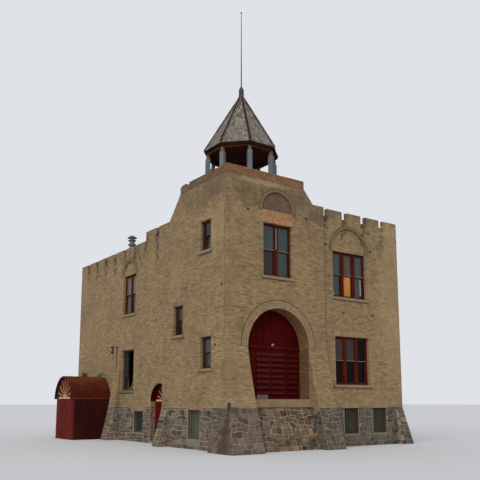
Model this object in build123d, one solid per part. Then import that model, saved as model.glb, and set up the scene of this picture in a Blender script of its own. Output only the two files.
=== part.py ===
from build123d import *
from collections import namedtuple
import math
import os

os.makedirs("parts", exist_ok=True)

# Village hall with a corner tower, in millimetres. While it is built up, X runs along the
# front to the right, Y runs back, Z runs up, and the tower's near corner is the zero point.

# Plan of the walls
front_width = 9300
building_depth = 15000
tower_width = 4800
tower_depth = 4700
front_setback = 100
side_setback = 500
brick_wall = 400
stone_wall = 500
arch_wall = 680

# Levels
stone_top = 1570
floor_depth = 280
basement_slab = 100
upper_floor_top = 5700
roof_deck_top = 8500
deck_depth = 200
front_parapet_rise = 1200
high_parapet_rise = 1060
low_parapet_rise = 640
tower_side_rise = 700
front_parapet = roof_deck_top + front_parapet_rise
high_parapet = roof_deck_top + high_parapet_rise
low_parapet = roof_deck_top + low_parapet_rise
tower_side_parapet = roof_deck_top + tower_side_rise
parapet_step = 7400

# Notches between the merlons
notch_depth = 200
front_notch_depth = 290
slot_drop = 250
slot_recess = 100
front_notch = 270
front_merlons = 4
merlon_thick = 150
side_notch = 200
side_pitch = 1100

# Great arch in the tower front, and the boarded door that fills it
arch_radius = 1475
arch_spring = 3800
arch_ring_depth = 300
ring_projection = 10
door_setback = 580
great_door_thickness = 60
rail_height = 110
rail_drop = 50
rail_thick = 30
slat_pitch = 210
slat_height = 60
slat_thick = 22
slat_start = 180
slat_clear = 250
slat_columns = 4
column_gap = 100
sill_height = 290
sill_nose = 60
infill_face = 120
infill_batter = 400

# Flared feet of the piers: how far each runs out at the ground, and how sharply it bends
front_flare = 1000
front_flare_bend = 1.2
corner_flare = 450
corner_flare_bend = 1.3
corner_pier = 550
foot_flare = 430
foot_flare_bend = 1.1
foot_width = 450
end_flare = 300
buttress_flare = 650
buttress_bend = 1.75
buttress_top = 4250
buttress_place = 9750
buttress_width = 600

# Upper stage of the tower, with sloping shoulders on its two inner sides
top_width = 3720
top_depth = 3430
shoulder_width = 4210
shoulder_depth = 4380
cap_foot = 10260
cap_height = 320
cap_wall = 300
cap_projection = 15

# Belfry
belfry_x = top_width / 2
belfry_y = top_depth / 2
belfry_sides = 8
eave_radius = 1560
eave_level = 11760
fascia_height = 60
roof_apex = 14470
roof_shell = 60
post_circle = eave_radius - 160
post_boxed = 175
post_slim = 115
boxed_height = 1180
plate_height = 90
plate_width = 110
soffit_board = 30
soffit_inset = 40
spire_tip = 2
belfry_boards = 60
finial_radius = 105
finial_height = 480
finial_sink = 130
rod_radius = 25
rod_tip_radius = 12
rod_ball = 35
rod_top = 18250

# Place of each opening along its wall, from the tower's near corner or its far edge, and its size
tower_window_shift = 40
tower_window_sill = 6500
tower_window_width = 1400
tower_window_height = 2070
small_window_width = 740
small_window_height = 1190
top_window_place = 1490
top_window_sill = 7510
low_window_place = 1420
low_window_sill = 2990
stair_window_place = 3490
stair_window_sill = 4390
front_window_place = 1500
front_window_width = 1920
upper_front_sill = 6040
upper_front_height = 1940
lower_front_shift = 50
lower_front_sill = 2450
lower_front_height = 1960
side_window_place = 8980
side_window_sill = 5890
side_window_width = 1300
side_window_height = 1900
broken_window_place = 8990
broken_window_sill = 2300
broken_window_width = 1240
broken_window_height = 1880
right_window_near = 3600
right_window_far = 10800
rear_window_near = 2900
rear_window_far = 6900
tower_basement_place = 2210
tower_basement_sill = 370
tower_basement_width = 840
tower_basement_height = 1090
front_basement_near = 1400
front_basement_far = 3050
front_basement_sill = 500
front_basement_width = 800
front_basement_height = 1020
side_basement_place = 7770
side_basement_sill = 400
side_basement_width = 860
side_basement_height = 960

# Windows and their masonry trim
frame_face = 60
frame_deep = 130
frame_setback = 110
sash_rebate = 20
mullion = 150
stile = 40
sash_deep = 45
glass_thick = 6
trim_sill_height = 110
trim_sill_nose = 50
trim_sill_ears = 110
lintel_skin = 12
hood_width = 130
tower_hood_width = 150
hood_projection = 25
tympanum_recess = 40
blind_margin = 60
tower_blind_margin = 80
side_blind_margin = 20
grille_recess = 90
tower_lintel_gap = 500
lintel_height = 230
small_lintel = 200
grille_deep = 80
grille_board = 30

# Fits: the joint left between seated pieces, how far a cutter runs past its work,
# and how far a fused piece runs into its neighbour
seat = 0.3
over = 50
bite = 1

# Side doorway, its pair of leaves and its fanlight
door_place = 1180
door_centre = tower_depth + door_place
door_radius = 770
door_spring = 1780
door_recess = 250
door_frame = 60
door_frame_deep = 90
leaf_thick = 50
leaf_gap = 8
meeting_gap = 12
threshold = 100
transom_height = 90
fanlight_setback = 30
fanlight_back = 25
ray_count = 7
ray_width = 34
ray_thick = 18
ray_gap = 15
hub_radius = 120
panel_border = 90
panel_sunk = 14
knuckle_radius = 9
knuckle_height = 110
knuckle_inset = 180
knuckle_lap = 3
strap_length = 70
strap_thick = 4

# Red vestibule over the rear doorway
vestibule_centre = 11900
vestibule_length = 1990
vestibule_roof_radius = 1110
vestibule_roof_thick = 60
vestibule_eave = 1900
vestibule_overhang = 120
vestibule_side_lap = 30
vestibule_wall = 80
vestibule_door_width = 1000
vestibule_door_head = vestibule_eave - 20
vestibule_bar = 90
vestibule_bar_length = 1500
vestibule_bar_nose = 30
vestibule_ray_gap = 170
rear_doorway_width = 1200
rear_doorway_head = 2200
blind_arch_radius = 830
blind_arch_spring = 2300
vent_place = 920
vent_size = 200
vent_height = 160
vent_lid = 30
vent_lid_lap = 15

# Open wells in the floors, behind the two entrances and beside the tower stair window, and
# the band of wall that carries the side doorway's arch
wall_split = 150
door_band = 300
well_width = 1200
well_margin = 350
stair_well_width = 1000
stair_well_length = 2300

# Ventilator on the roof
ventilator_x = 1400
ventilator_y = 10700
ventilator_radius = 130
ventilator_rise = 1650
ventilator_cap_radius = 250
ventilator_cap_height = 120
ventilator_plates = [(420, 200, 60), (200, 210, 25)]

Opening = namedtuple("Opening", "wall centre sill width height lights")


def block(x, y, z):
    """Box from its low and high coordinate on each axis."""
    centre = [(low + high) / 2 for low, high in (x, y, z)]
    return Pos(*centre) * Box(x[1] - x[0], y[1] - y[0], z[1] - z[0])


def prism_x(face, x):
    """Extrudes an outline drawn as (y, z) from x[0] to x[1]."""
    return extrude(Plane.YZ.offset(x[0]) * face, amount=x[1] - x[0])


def prism_y(face, y):
    """Extrudes an outline drawn as (x, z) from y[0] to y[1]."""
    return extrude(Plane.XZ.offset(-y[1]) * face, amount=y[1] - y[0])


def prism_z(face, z):
    """Extrudes an outline drawn as (x, y) from z[0] to z[1]."""
    return extrude(Plane.XY.offset(z[0]) * face, amount=z[1] - z[0])


def outline(points):
    """Face inside a closed run of points."""
    return make_face(Polyline(*points, close=True))


def flare(level, top, spread, bend):
    """How far a flared face stands out from its wall at a level."""
    return spread * max(0.0, (top - level) / top) ** bend


def flared_face(back, levels, top, spread, bend):
    """Outline of a flared pier: a flat back, and an outer edge that sweeps out downwards."""
    low, high = levels
    steps = [low + (high - low) * i / 6 for i in range(7)]
    sweep = [(-flare(level, top, spread, bend), level) for level in steps]
    edge = Spline(*[Vector(*point) for point in sweep])
    rest = Polyline(sweep[-1], (back, high), (back, low), sweep[0])
    return make_face(Curve() + [edge, rest])


def arched_face(centre, foot, spring, radius):
    """Outline of an opening with straight jambs and a half-round head, as (along, z)."""
    legs = Polyline((centre + radius, spring), (centre + radius, foot), (centre - radius, foot),
                    (centre - radius, spring))
    head = ThreePointArc((centre - radius, spring), (centre, spring + radius), (centre + radius, spring))
    return make_face(Curve() + [legs, head])


def half_disc(centre, spring, radius):
    """Outline of a half-round panel over its springing line, as (along, z)."""
    left = (centre - radius, spring)
    right = (centre + radius, spring)
    return make_face(Curve() + [ThreePointArc(left, (centre, spring + radius), right), Line(right, left)])


def half_ring(centre, spring, inner, outer):
    """Outline of a half-round ring, as (along, z)."""
    return half_disc(centre, spring, outer) - half_disc(centre, spring, inner)


# Wall frames: along the wall to the right as seen from outside, into the wall, and up
tower_front = Location((0, 0, 0))
main_front = Location((0, front_setback, 0))
tower_side = Location((0, 0, 0), (0, 0, -90))
main_side = Location((side_setback, 0, 0), (0, 0, -90))
right_side = Location((front_width, 0, 0), (0, 0, 90))
rear_side = Location((0, building_depth, 0), (0, 0, 180))

# Openings, each from its wall, centre along the wall, sill level, width, height and lights
tower_centre = tower_width / 2
front_window_centre = tower_width + front_window_place
tower_window = Opening(
    tower_front, tower_centre - tower_window_shift, tower_window_sill, tower_window_width,
    tower_window_height, 2)
small_windows = [
    Opening(tower_side, -place, sill, small_window_width, small_window_height, 1)
    for place, sill in (
        (top_window_place, top_window_sill),
        (low_window_place, low_window_sill),
        (stair_window_place, stair_window_sill),
    )
]
front_windows = [
    Opening(main_front, front_window_centre, upper_front_sill, front_window_width, upper_front_height, 3),
    Opening(
        main_front, front_window_centre + lower_front_shift, lower_front_sill, front_window_width,
        lower_front_height, 3),
]
side_window = Opening(
    main_side, -side_window_place, side_window_sill, side_window_width, side_window_height, 2)
broken_window = Opening(
    main_side, -broken_window_place, broken_window_sill, broken_window_width, broken_window_height, 1)
back_windows = [
    Opening(wall, along, sill, side_window_width, side_window_height, 2)
    for wall, along in (
        (right_side, right_window_near),
        (right_side, right_window_far),
        (rear_side, -rear_window_near),
        (rear_side, -rear_window_far),
    )
    for sill in (broken_window_sill, side_window_sill)
]
tower_basement = Opening(
    tower_side, -tower_basement_place, tower_basement_sill, tower_basement_width, tower_basement_height, 1)
front_basement = [
    Opening(
        main_front, tower_width + place, front_basement_sill, front_basement_width, front_basement_height, 1)
    for place in (front_basement_near, front_basement_far)
]
side_basement = Opening(
    main_side, -side_basement_place, side_basement_sill, side_basement_width, side_basement_height, 1)
sash_windows = [tower_window] + small_windows + front_windows + [side_window] + back_windows
basement_windows = [tower_basement] + front_basement + [side_basement]


def hole(opening, through):
    """Cutter for an opening, past both faces of its wall."""
    half = opening.width / 2
    return opening.wall * block(
        (opening.centre - half, opening.centre + half),
        (-through, through),
        (opening.sill, opening.sill + opening.height),
    )


def cut_holes(wall, openings, through):
    """Wall with its openings cut through."""
    for opening in openings:
        wall -= hole(opening, through)
    return wall


def notches(wall_frame, places, width, top, depth):
    """Cutters for the gaps between merlons: open at the top, and a shallow slot below."""
    cutters = []
    for along in places:
        span = (along - width / 2, along + width / 2)
        gap = block(span, (-over, brick_wall + over), (top - depth, top + over))
        slot = block(span, (-over, slot_recess), (top - depth - slot_drop, top))
        cutters += [wall_frame * gap, wall_frame * slot]
    return cutters


def cut_all(solid, cutters):
    """Solid less each cutter."""
    for cutter in cutters:
        solid -= cutter
    return solid


def blind_arch(wall_frame, centre, spring, radius):
    """Shallow recess of a blind arch, as a cutter."""
    return wall_frame * prism_y(half_disc(centre, spring, radius), (-over, tympanum_recess))


# Stone feet of the tower front: two flared piers, and the fieldstone wall set back between them
jamb_left = tower_centre - arch_radius
jamb_right = tower_centre + arch_radius
front_reach = front_flare + over


def left_pier(levels):
    """Flared pier at the tower's near corner, between two levels."""
    forward = flared_face(arch_wall, levels, arch_spring, front_flare, front_flare_bend)
    sideways = flared_face(jamb_left, levels, arch_spring, corner_flare, corner_flare_bend)
    pier = prism_x(forward, (-corner_flare - over, jamb_left))
    pier &= prism_y(sideways, (-front_reach, corner_pier))
    return pier + block((0, jamb_left), (corner_pier, arch_wall), levels)


def right_pier(levels):
    """Flared pier on the far side of the great arch, between two levels."""
    forward = flared_face(arch_wall, levels, arch_spring, front_flare, front_flare_bend)
    return prism_x(forward, (jamb_right, tower_width))


stone_levels = (0, stone_top)
tower_left_foot = left_pier(stone_levels)
tower_right_foot = right_pier(stone_levels)
infill_profile = outline([
    (-infill_face - infill_batter, 0),
    (-infill_face, stone_top),
    (arch_wall, stone_top),
    (arch_wall, 0),
])
arch_infill = prism_x(infill_profile, (jamb_left, jamb_right))

tower_side_base = block((0, stone_wall), (arch_wall, tower_depth), stone_levels)
rear_foot = prism_y(
    flared_face(bite, stone_levels, stone_top, foot_flare, foot_flare_bend),
    (tower_depth - foot_width, tower_depth),
)
tower_side_base = cut_holes(tower_side_base + rear_foot, [tower_basement], stone_wall + over)

# Stone base under the main walls
inner_front = front_setback + stone_wall
front_base = block((tower_width, front_width), (front_setback, inner_front), stone_levels)
end_corner = Pos(front_width, front_setback, 0)
end_profile = flared_face(foot_width, stone_levels, stone_top, end_flare, foot_flare_bend)
end_forward = prism_x(end_profile, (-foot_width, end_flare))
end_sideways = mirror(prism_y(end_profile, (-end_flare - over, foot_width)), Plane.YZ)
front_base += end_corner * (end_forward & end_sideways)
front_base = cut_holes(front_base, front_basement, inner_front)

door_near = door_centre - door_radius
door_far = door_centre + door_radius
side_face = side_setback
side_inner = side_setback + stone_wall
doorway = prism_x(
    arched_face(door_centre, -over, door_spring, door_radius),
    (side_face - over, side_inner + over),
)
rear_doorway_span = (vestibule_centre - rear_doorway_width / 2, vestibule_centre + rear_doorway_width / 2)
rear_doorway = block(
    (side_face - over, side_inner + over), rear_doorway_span, (basement_slab, rear_doorway_head))
side_base_front = block((side_face, side_inner), (tower_depth, door_near), stone_levels)
buttress_span = (buttress_place, buttress_place + buttress_width)


def buttress(levels):
    """Flared buttress on the side wall, between two levels."""
    face = flared_face(bite, levels, buttress_top, buttress_flare, buttress_bend)
    return Pos(side_face, 0, 0) * prism_y(face, buttress_span)


side_base_rear = block((side_face, side_inner), (door_far, building_depth), stone_levels)
side_base_rear += buttress(stone_levels)
side_base_rear = cut_holes(side_base_rear, [side_basement], side_inner) - rear_doorway
right_base = block(
    (front_width - stone_wall, front_width), (inner_front, building_depth - stone_wall), stone_levels)
rear_base = block(
    (side_inner, front_width), (building_depth - stone_wall, building_depth), stone_levels)

# Brick piers, arch wall and ring of the tower front
pier_levels = (stone_top, arch_spring)
tower_left_pier = left_pier(pier_levels)
tower_right_pier = right_pier(pier_levels)
ring_outer = arch_radius + arch_ring_depth
arch_wall_top = upper_floor_top
tower_arch_wall = block((0, tower_width), (0, arch_wall), (arch_spring, arch_wall_top))
tower_arch_wall -= prism_y(half_disc(tower_centre, arch_spring, ring_outer), (-over, arch_wall + over))
great_arch_ring = prism_y(
    half_ring(tower_centre, arch_spring, arch_radius, ring_outer),
    (-ring_projection, arch_wall),
)

# Upper stage of the tower front, with the sloping shoulder at its right
front_stage = outline([
    (0, arch_wall_top),
    (tower_width, arch_wall_top),
    (tower_width, front_parapet),
    (shoulder_width, front_parapet),
    (top_width, cap_foot),
    (0, cap_foot),
])
niche_radius = tower_window.width / 2 + tower_blind_margin
niche_spring = tower_window.sill + tower_window.height + tower_lintel_gap
tower_upper_front = prism_y(front_stage, (0, brick_wall))
tower_upper_front = cut_holes(tower_upper_front, [tower_window], brick_wall + over)
tower_upper_front -= blind_arch(tower_front, tower_window.centre, niche_spring, niche_radius)

side_stage = outline([
    (arch_wall, stone_top),
    (tower_depth, stone_top),
    (tower_depth, tower_side_parapet),
    (shoulder_depth, tower_side_parapet),
    (top_depth, cap_foot),
    (brick_wall, cap_foot),
    (brick_wall, arch_wall_top),
    (arch_wall, arch_wall_top),
])
tower_side_wall = cut_holes(prism_x(side_stage, (0, brick_wall)), small_windows, brick_wall + over)

# Inner sides of the upper stage, standing on the roof deck and hipped at their corner
right_slope = outline([
    (brick_wall, roof_deck_top),
    (shoulder_width, roof_deck_top),
    (shoulder_width, front_parapet),
    (top_width, cap_foot),
    (brick_wall, cap_foot),
])
rear_slope = outline([
    (brick_wall, roof_deck_top),
    (shoulder_depth, roof_deck_top),
    (shoulder_depth, tower_side_parapet),
    (top_depth, cap_foot),
    (brick_wall, cap_foot),
])
tower_shoulders = prism_y(right_slope, (brick_wall, shoulder_depth))
tower_shoulders &= prism_x(rear_slope, (brick_wall, shoulder_width))
lantern_x = (cap_wall, top_width - cap_wall)
lantern_y = (cap_wall, top_depth - cap_wall)
tower_shoulders -= block((0, lantern_x[1]), (0, lantern_y[1]), (0, cap_foot + over))
cap_levels = (cap_foot, cap_foot + cap_height)
tower_brick_cap = block(
    (-cap_projection, top_width + cap_projection), (-cap_projection, top_depth + cap_projection), cap_levels)
tower_brick_cap -= block(lantern_x, lantern_y, (0, cap_levels[1] + over))

# Brick main walls with their merlons
brick_levels = (stone_top, front_parapet)
merlon_run = front_width - tower_width - front_notch
merlon_pitch = (merlon_run + front_notch) / front_merlons
front_places = [tower_width + front_notch / 2 + merlon_pitch * i for i in range(front_merlons)]
front_wall = block((tower_width, front_width), (front_setback, front_setback + brick_wall), brick_levels)
front_wall = cut_holes(front_wall, front_windows, front_setback + brick_wall)
front_arch_radius = front_windows[0].width / 2 + blind_margin
front_arch_spring = front_windows[0].sill + front_windows[0].height
front_wall -= blind_arch(main_front, front_windows[0].centre, front_arch_spring, front_arch_radius)
front_wall = cut_all(
    front_wall, notches(main_front, front_places, front_notch, front_parapet, front_notch_depth))
merlon_back = (front_setback + merlon_thick, front_setback + brick_wall + over)
front_wall -= block(
    (tower_width - over, front_width - brick_wall), merlon_back,
    (front_parapet - front_notch_depth, front_parapet + over))

brick_side = (side_setback, side_setback + brick_wall)
low_count = int((building_depth - parapet_step - side_pitch / 2) // side_pitch)
low_places = [parapet_step + side_pitch * (i + 1) for i in range(low_count)]
high_count = int((parapet_step - brick_wall) // side_pitch)
high_places = [parapet_step - side_pitch * (i + 1) for i in range(high_count)]


def side_profile(start, end):
    """Outline of a long wall that steps down from the high to the low parapet."""
    return outline([
        (start, stone_top),
        (end, stone_top),
        (end, low_parapet),
        (parapet_step, low_parapet),
        (parapet_step, high_parapet),
        (start, high_parapet),
    ])


side_wall = prism_x(side_profile(tower_depth, building_depth), brick_side)
side_wall += buttress((stone_top, buttress_top))
side_wall = cut_holes(side_wall, [side_window, broken_window], side_setback + brick_wall)
side_arch_radius = side_window.width / 2 + side_blind_margin
side_arch_spring = side_window.sill + side_window.height
side_wall -= blind_arch(main_side, side_window.centre, side_arch_spring, side_arch_radius)
side_wall -= blind_arch(main_side, -vestibule_centre, blind_arch_spring, blind_arch_radius)
side_wall = side_wall - doorway - rear_doorway
seen_places = [-place for place in high_places if place > tower_depth + side_notch]
side_wall = cut_all(side_wall, notches(main_side, seen_places, side_notch, high_parapet, notch_depth))
rear_run = [-place for place in low_places]
side_wall = cut_all(side_wall, notches(main_side, rear_run, side_notch, low_parapet, notch_depth))
split = door_far + wall_split
whole = (-front_width, 2 * front_width)
band_top = door_spring + door_radius + door_band
side_door_arch = side_wall & block(whole, (0, split), (0, band_top))
side_wall_front = side_wall & block(whole, (0, split), (band_top, 2 * high_parapet))
side_wall_rear = side_wall & block(whole, (split, 2 * building_depth), (0, 2 * high_parapet))

brick_right = (front_width - brick_wall, front_width)
right_profile = side_profile(front_setback + brick_wall, building_depth - brick_wall)
right_wall = prism_x(right_profile, brick_right)
right_openings = [opening for opening in back_windows if opening.wall is right_side]
rear_openings = [opening for opening in back_windows if opening.wall is rear_side]
right_wall = cut_holes(right_wall, right_openings, brick_wall + over)
right_wall = cut_all(right_wall, notches(right_side, high_places, side_notch, high_parapet, notch_depth))
right_wall = cut_all(right_wall, notches(right_side, low_places, side_notch, low_parapet, notch_depth))
rear_wall = block(
    (side_setback + brick_wall, front_width),
    (building_depth - brick_wall, building_depth),
    (stone_top, low_parapet),
)
rear_wall = cut_holes(rear_wall, rear_openings, brick_wall + over)
rear_count = int((front_width - side_setback - side_pitch) // side_pitch)
rear_notches = [-(side_setback + side_pitch * (i + 1)) for i in range(rear_count)]
rear_wall = cut_all(rear_wall, notches(rear_side, rear_notches, side_notch, low_parapet, notch_depth))


# Floors and roof deck, open where the entrances, the stair window and the tower top need height
def storey(levels, wall, tower_near):
    """Floor plate over the main room and the tower room, inside walls of one thickness."""
    side = side_setback + wall
    front = front_setback + wall
    rear = building_depth - wall
    right = front_width - wall
    return prism_z(outline([
        (wall, tower_near),
        (tower_width, tower_near),
        (tower_width, front),
        (right, front),
        (right, rear),
        (side, rear),
        (side, tower_depth),
        (wall, tower_depth),
    ]), levels)


basement_floor = storey((0, basement_slab), stone_wall, arch_wall)
main_floor = storey((stone_top, stone_top + floor_depth), brick_wall, arch_wall)
well_side = (side_setback, side_setback + brick_wall + well_width)
for start, end in ((door_near, door_far), rear_doorway_span):
    span = (max(start - well_margin, tower_depth), end + well_margin)
    main_floor -= block(well_side, span, (0, upper_floor_top))
stair_x = (0, brick_wall + stair_well_width)
stair_y = (tower_depth - stair_well_length, tower_depth)
upper_floor = storey((upper_floor_top - floor_depth, upper_floor_top), brick_wall, arch_wall)
upper_floor -= block(stair_x, stair_y, (0, roof_deck_top))
roof_deck = storey((roof_deck_top - deck_depth, roof_deck_top), brick_wall, brick_wall)
roof_deck -= block((0, lantern_x[1]), (0, lantern_y[1]), (0, cap_foot))
belfry_floor = cap_foot + belfry_boards
belfry_deck = block(lantern_x, lantern_y, (cap_foot, belfry_floor))

# Great door: boards in the arch head, a rail, and columns of raised slats below
door_foot = stone_top + sill_height
door_face = arched_face(tower_centre, door_foot + seat, arch_spring, arch_radius - seat)
great_door = prism_y(door_face, (door_setback, door_setback + great_door_thickness))
rail_level = arch_spring - rail_drop
rail = block((jamb_left, jamb_right), (0, arch_wall), (rail_level, rail_level + rail_height))
great_door += rail & prism_y(door_face, (door_setback - rail_thick, door_setback + bite))
column_width = (2 * arch_radius - (slat_columns + 1) * column_gap) / slat_columns
slat_count = int((rail_level - door_foot - slat_clear) // slat_pitch)
for column in range(slat_columns):
    left = jamb_left + column_gap + column * (column_width + column_gap)
    for row in range(slat_count):
        level = door_foot + slat_start + slat_pitch * row
        great_door += block(
            (left, left + column_width), (door_setback - slat_thick, door_setback + bite),
            (level, level + slat_height))
great_door_sill = block(
    (jamb_left, jamb_right), (-infill_face - sill_nose, arch_wall), (stone_top, door_foot))


# Windows: a deep frame with boxed mullions, and a pair of hung sashes in each light
sash_front = frame_setback + sash_rebate


def light_spans(opening):
    """Spans of the clear lights between frame and mullions, along the wall."""
    left = opening.centre - opening.width / 2 + frame_face
    clear = opening.width - 2 * frame_face - mullion * (opening.lights - 1)
    width = clear / opening.lights
    starts = [left + i * (width + mullion) for i in range(opening.lights)]
    return [(start, start + width) for start in starts]


def sash_levels(opening):
    """Levels of the lower and upper sash, which overlap at the meeting rail."""
    foot = opening.sill + frame_face
    head = opening.sill + opening.height - frame_face
    middle = (foot + head) / 2
    return (foot, middle + stile / 2), (middle - stile / 2, head)


def bare_frame(opening):
    """Frame and mullions of one window, seated in its opening."""
    half = opening.width / 2 - seat
    depth = (frame_setback, frame_setback + frame_deep)
    joinery = block(
        (opening.centre - half, opening.centre + half), depth,
        (opening.sill + seat, opening.sill + opening.height - seat))
    lower, upper = sash_levels(opening)
    for span in light_spans(opening):
        joinery -= block(span, (0, brick_wall), (lower[0], upper[1]))
    return joinery


def window_frame(opening):
    """Frame, mullions and sashes of one window as one piece of joinery."""
    joinery = bare_frame(opening)
    lower, upper = sash_levels(opening)
    for span in light_spans(opening):
        for levels, front in ((upper, sash_front), (lower, sash_front + sash_deep)):
            sash = block(span, (front, front + sash_deep), levels)
            sash -= block(
                (span[0] + stile, span[1] - stile), (0, brick_wall), (levels[0] + stile, levels[1] - stile))
            joinery += sash
    return opening.wall * joinery


def window_panes(opening):
    """Glass of one window, a pane to each sash."""
    panes = []
    lower, upper = sash_levels(opening)
    for span in light_spans(opening):
        for levels, front in ((upper, sash_front), (lower, sash_front + sash_deep)):
            middle = front + sash_deep / 2
            panes.append(opening.wall * block(
                (span[0] + stile, span[1] - stile),
                (middle - glass_thick / 2, middle + glass_thick / 2),
                (levels[0] + stile, levels[1] - stile)))
    return panes


def grille_frame(opening):
    """Plain frame and backing board of a basement window, behind its bars."""
    half = opening.width / 2 - seat
    levels = (opening.sill + seat, opening.sill + opening.height - seat)
    back = grille_recess + grille_deep
    frame = block((opening.centre - half, opening.centre + half), (grille_recess, back), levels)
    frame -= block(
        (opening.centre - half + frame_face, opening.centre + half - frame_face), (0, back - grille_board),
        (levels[0] + frame_face, levels[1] - frame_face))
    return opening.wall * frame


def gathered(solids):
    """Separate solids that share one node."""
    return Compound([solid for piece in solids for solid in piece.solids()])


tower_windows = gathered([window_frame(opening) for opening in [tower_window] + small_windows])
front_window_frames = gathered([window_frame(opening) for opening in front_windows])
side_window_frames = gathered([window_frame(side_window), broken_window.wall * bare_frame(broken_window)])
back_window_frames = gathered([window_frame(opening) for opening in back_windows])
window_glass = gathered([pane for opening in sash_windows for pane in window_panes(opening)])
basement_frames = gathered([grille_frame(opening) for opening in basement_windows])


def trim_sill(opening):
    """Stone sill with ears, standing out from the wall under an opening."""
    half = opening.width / 2 + trim_sill_ears
    return opening.wall * block(
        (opening.centre - half, opening.centre + half), (-trim_sill_nose, -seat),
        (opening.sill - trim_sill_height, opening.sill))


def trim_lintel(opening, height, ears):
    """Brick lintel band over an opening, set a little proud of the wall."""
    half = opening.width / 2 + ears
    head = opening.sill + opening.height
    return opening.wall * block(
        (opening.centre - half, opening.centre + half), (-lintel_skin - seat, -seat), (head, head + height))


def hood(wall_frame, centre, spring, radius, width=hood_width):
    """Half-round brick hood that stands proud over a blind arch."""
    ring = half_ring(centre, spring, radius, radius + width)
    return wall_frame * prism_y(ring, (-hood_projection, -seat))


window_sills = gathered([trim_sill(opening) for opening in sash_windows + [broken_window]])
window_lintels = gathered(
    [trim_lintel(tower_window, tower_lintel_gap - bite, blind_margin)]
    + [trim_lintel(opening, lintel_height, blind_margin) for opening in (front_windows[1], broken_window)]
    + [trim_lintel(opening, small_lintel, trim_sill_ears) for opening in small_windows[1:] + basement_windows]
)
vestibule_barrel = Pos(0, vestibule_centre, vestibule_eave) * (
    Rot(0, 90, 0) * Cylinder(vestibule_roof_radius + seat, 2 * building_depth))
arch_hoods = gathered([
    hood(tower_front, tower_window.centre, niche_spring, niche_radius, tower_hood_width),
    hood(main_front, front_windows[0].centre, front_arch_spring, front_arch_radius),
    hood(main_side, side_window.centre, side_arch_spring, side_arch_radius),
    hood(main_side, -vestibule_centre, blind_arch_spring, blind_arch_radius) - vestibule_barrel,
])


# Side doorway: arched frame with a transom and a sunburst fanlight, and two leaves
def sunburst(radius):
    """Rays that fan out from a half-round hub, as (along, z) about the origin."""
    reach = radius + ray_width
    rays = Rot(90, 0, 0) * Cylinder(hub_radius, ray_thick)
    for i in range(ray_count):
        angle = 180 * (i + 0.5) / ray_count
        rays += Rot(0, -angle, 0) * (Pos(reach / 2, 0, 0) * Box(reach, ray_thick, ray_width))
    return rays & prism_y(half_disc(0, 0, radius), (-ray_thick, ray_thick))


def turned_sunburst(front, centre, foot, radius):
    """Sunburst laid on a panel that faces -X."""
    place = Pos(front - ray_thick / 2 + bite, centre, foot)
    return place * (Rot(0, 0, -90) * sunburst(radius))


def knuckles(front, jamb, leaf_side, levels):
    """Two hinge barrels in front of a jamb, each with a strap onto its leaf."""
    leaf_edge = leaf_gap + knuckle_lap
    strap_front = knuckle_radius + seat - strap_thick
    half = (-knuckle_height / 2, knuckle_height / 2)
    hinge = Cylinder(knuckle_radius, knuckle_height)
    hinge += block((strap_front, knuckle_radius), sorted((0, leaf_side * strap_length)), half)
    hinge += block(
        (strap_front, knuckle_radius + seat + bite),
        sorted((leaf_side * (leaf_edge + bite), leaf_side * strap_length)), half)
    axis = Pos(front - knuckle_radius - seat, jamb - leaf_side * knuckle_lap, 0)
    heights = (levels[0] + knuckle_inset, levels[1] - knuckle_inset)
    return [axis * (Pos(0, 0, height) * hinge) for height in heights]


frame_front = side_face + door_recess
frame_back = frame_front + door_frame_deep
transom_level = door_spring
door_inner = door_radius - door_frame
side_door_frame = prism_x(
    arched_face(door_centre, threshold, door_spring, door_radius - seat), (frame_front, frame_back))
side_door_frame -= prism_x(
    arched_face(door_centre, 0, door_spring, door_inner), (frame_front - over, frame_back + over))
side_door_frame += block(
    (frame_front, frame_back), (door_centre - door_inner - bite, door_centre + door_inner + bite),
    (transom_level, transom_level + transom_height))
fan_front = frame_front + fanlight_setback
side_door_frame += prism_x(
    half_disc(door_centre, door_spring + bite, door_inner + bite), (fan_front, fan_front + fanlight_back))
side_door_frame += turned_sunburst(
    fan_front, door_centre, transom_level + transom_height, door_inner - transom_height - ray_gap)
door_threshold = block((side_face, side_inner), (door_near, door_far), (0, threshold))

leaf_width = door_inner - leaf_gap - meeting_gap / 2
leaf_levels = (threshold + leaf_gap, transom_level - leaf_gap)


def door_leaf(side):
    """One panelled leaf of the pair; side is -1 at the near jamb and 1 at the far jamb."""
    jamb = door_centre + side * door_inner
    edge = jamb - side * leaf_gap
    span = sorted((edge, edge - side * leaf_width))
    leaf = block((frame_front, frame_front + leaf_thick), span, leaf_levels)
    panel = (leaf_levels[1] - leaf_levels[0] - 3 * panel_border) / 2
    for row in range(2):
        low = leaf_levels[0] + panel_border + row * (panel + panel_border)
        leaf -= block(
            (frame_front - bite, frame_front + panel_sunk), (span[0] + panel_border, span[1] - panel_border),
            (low, low + panel))
    for hinge in knuckles(frame_front, jamb, -side, leaf_levels):
        leaf += hinge
    return leaf


side_door_near = door_leaf(-1)
side_door_far = door_leaf(1)

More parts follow.
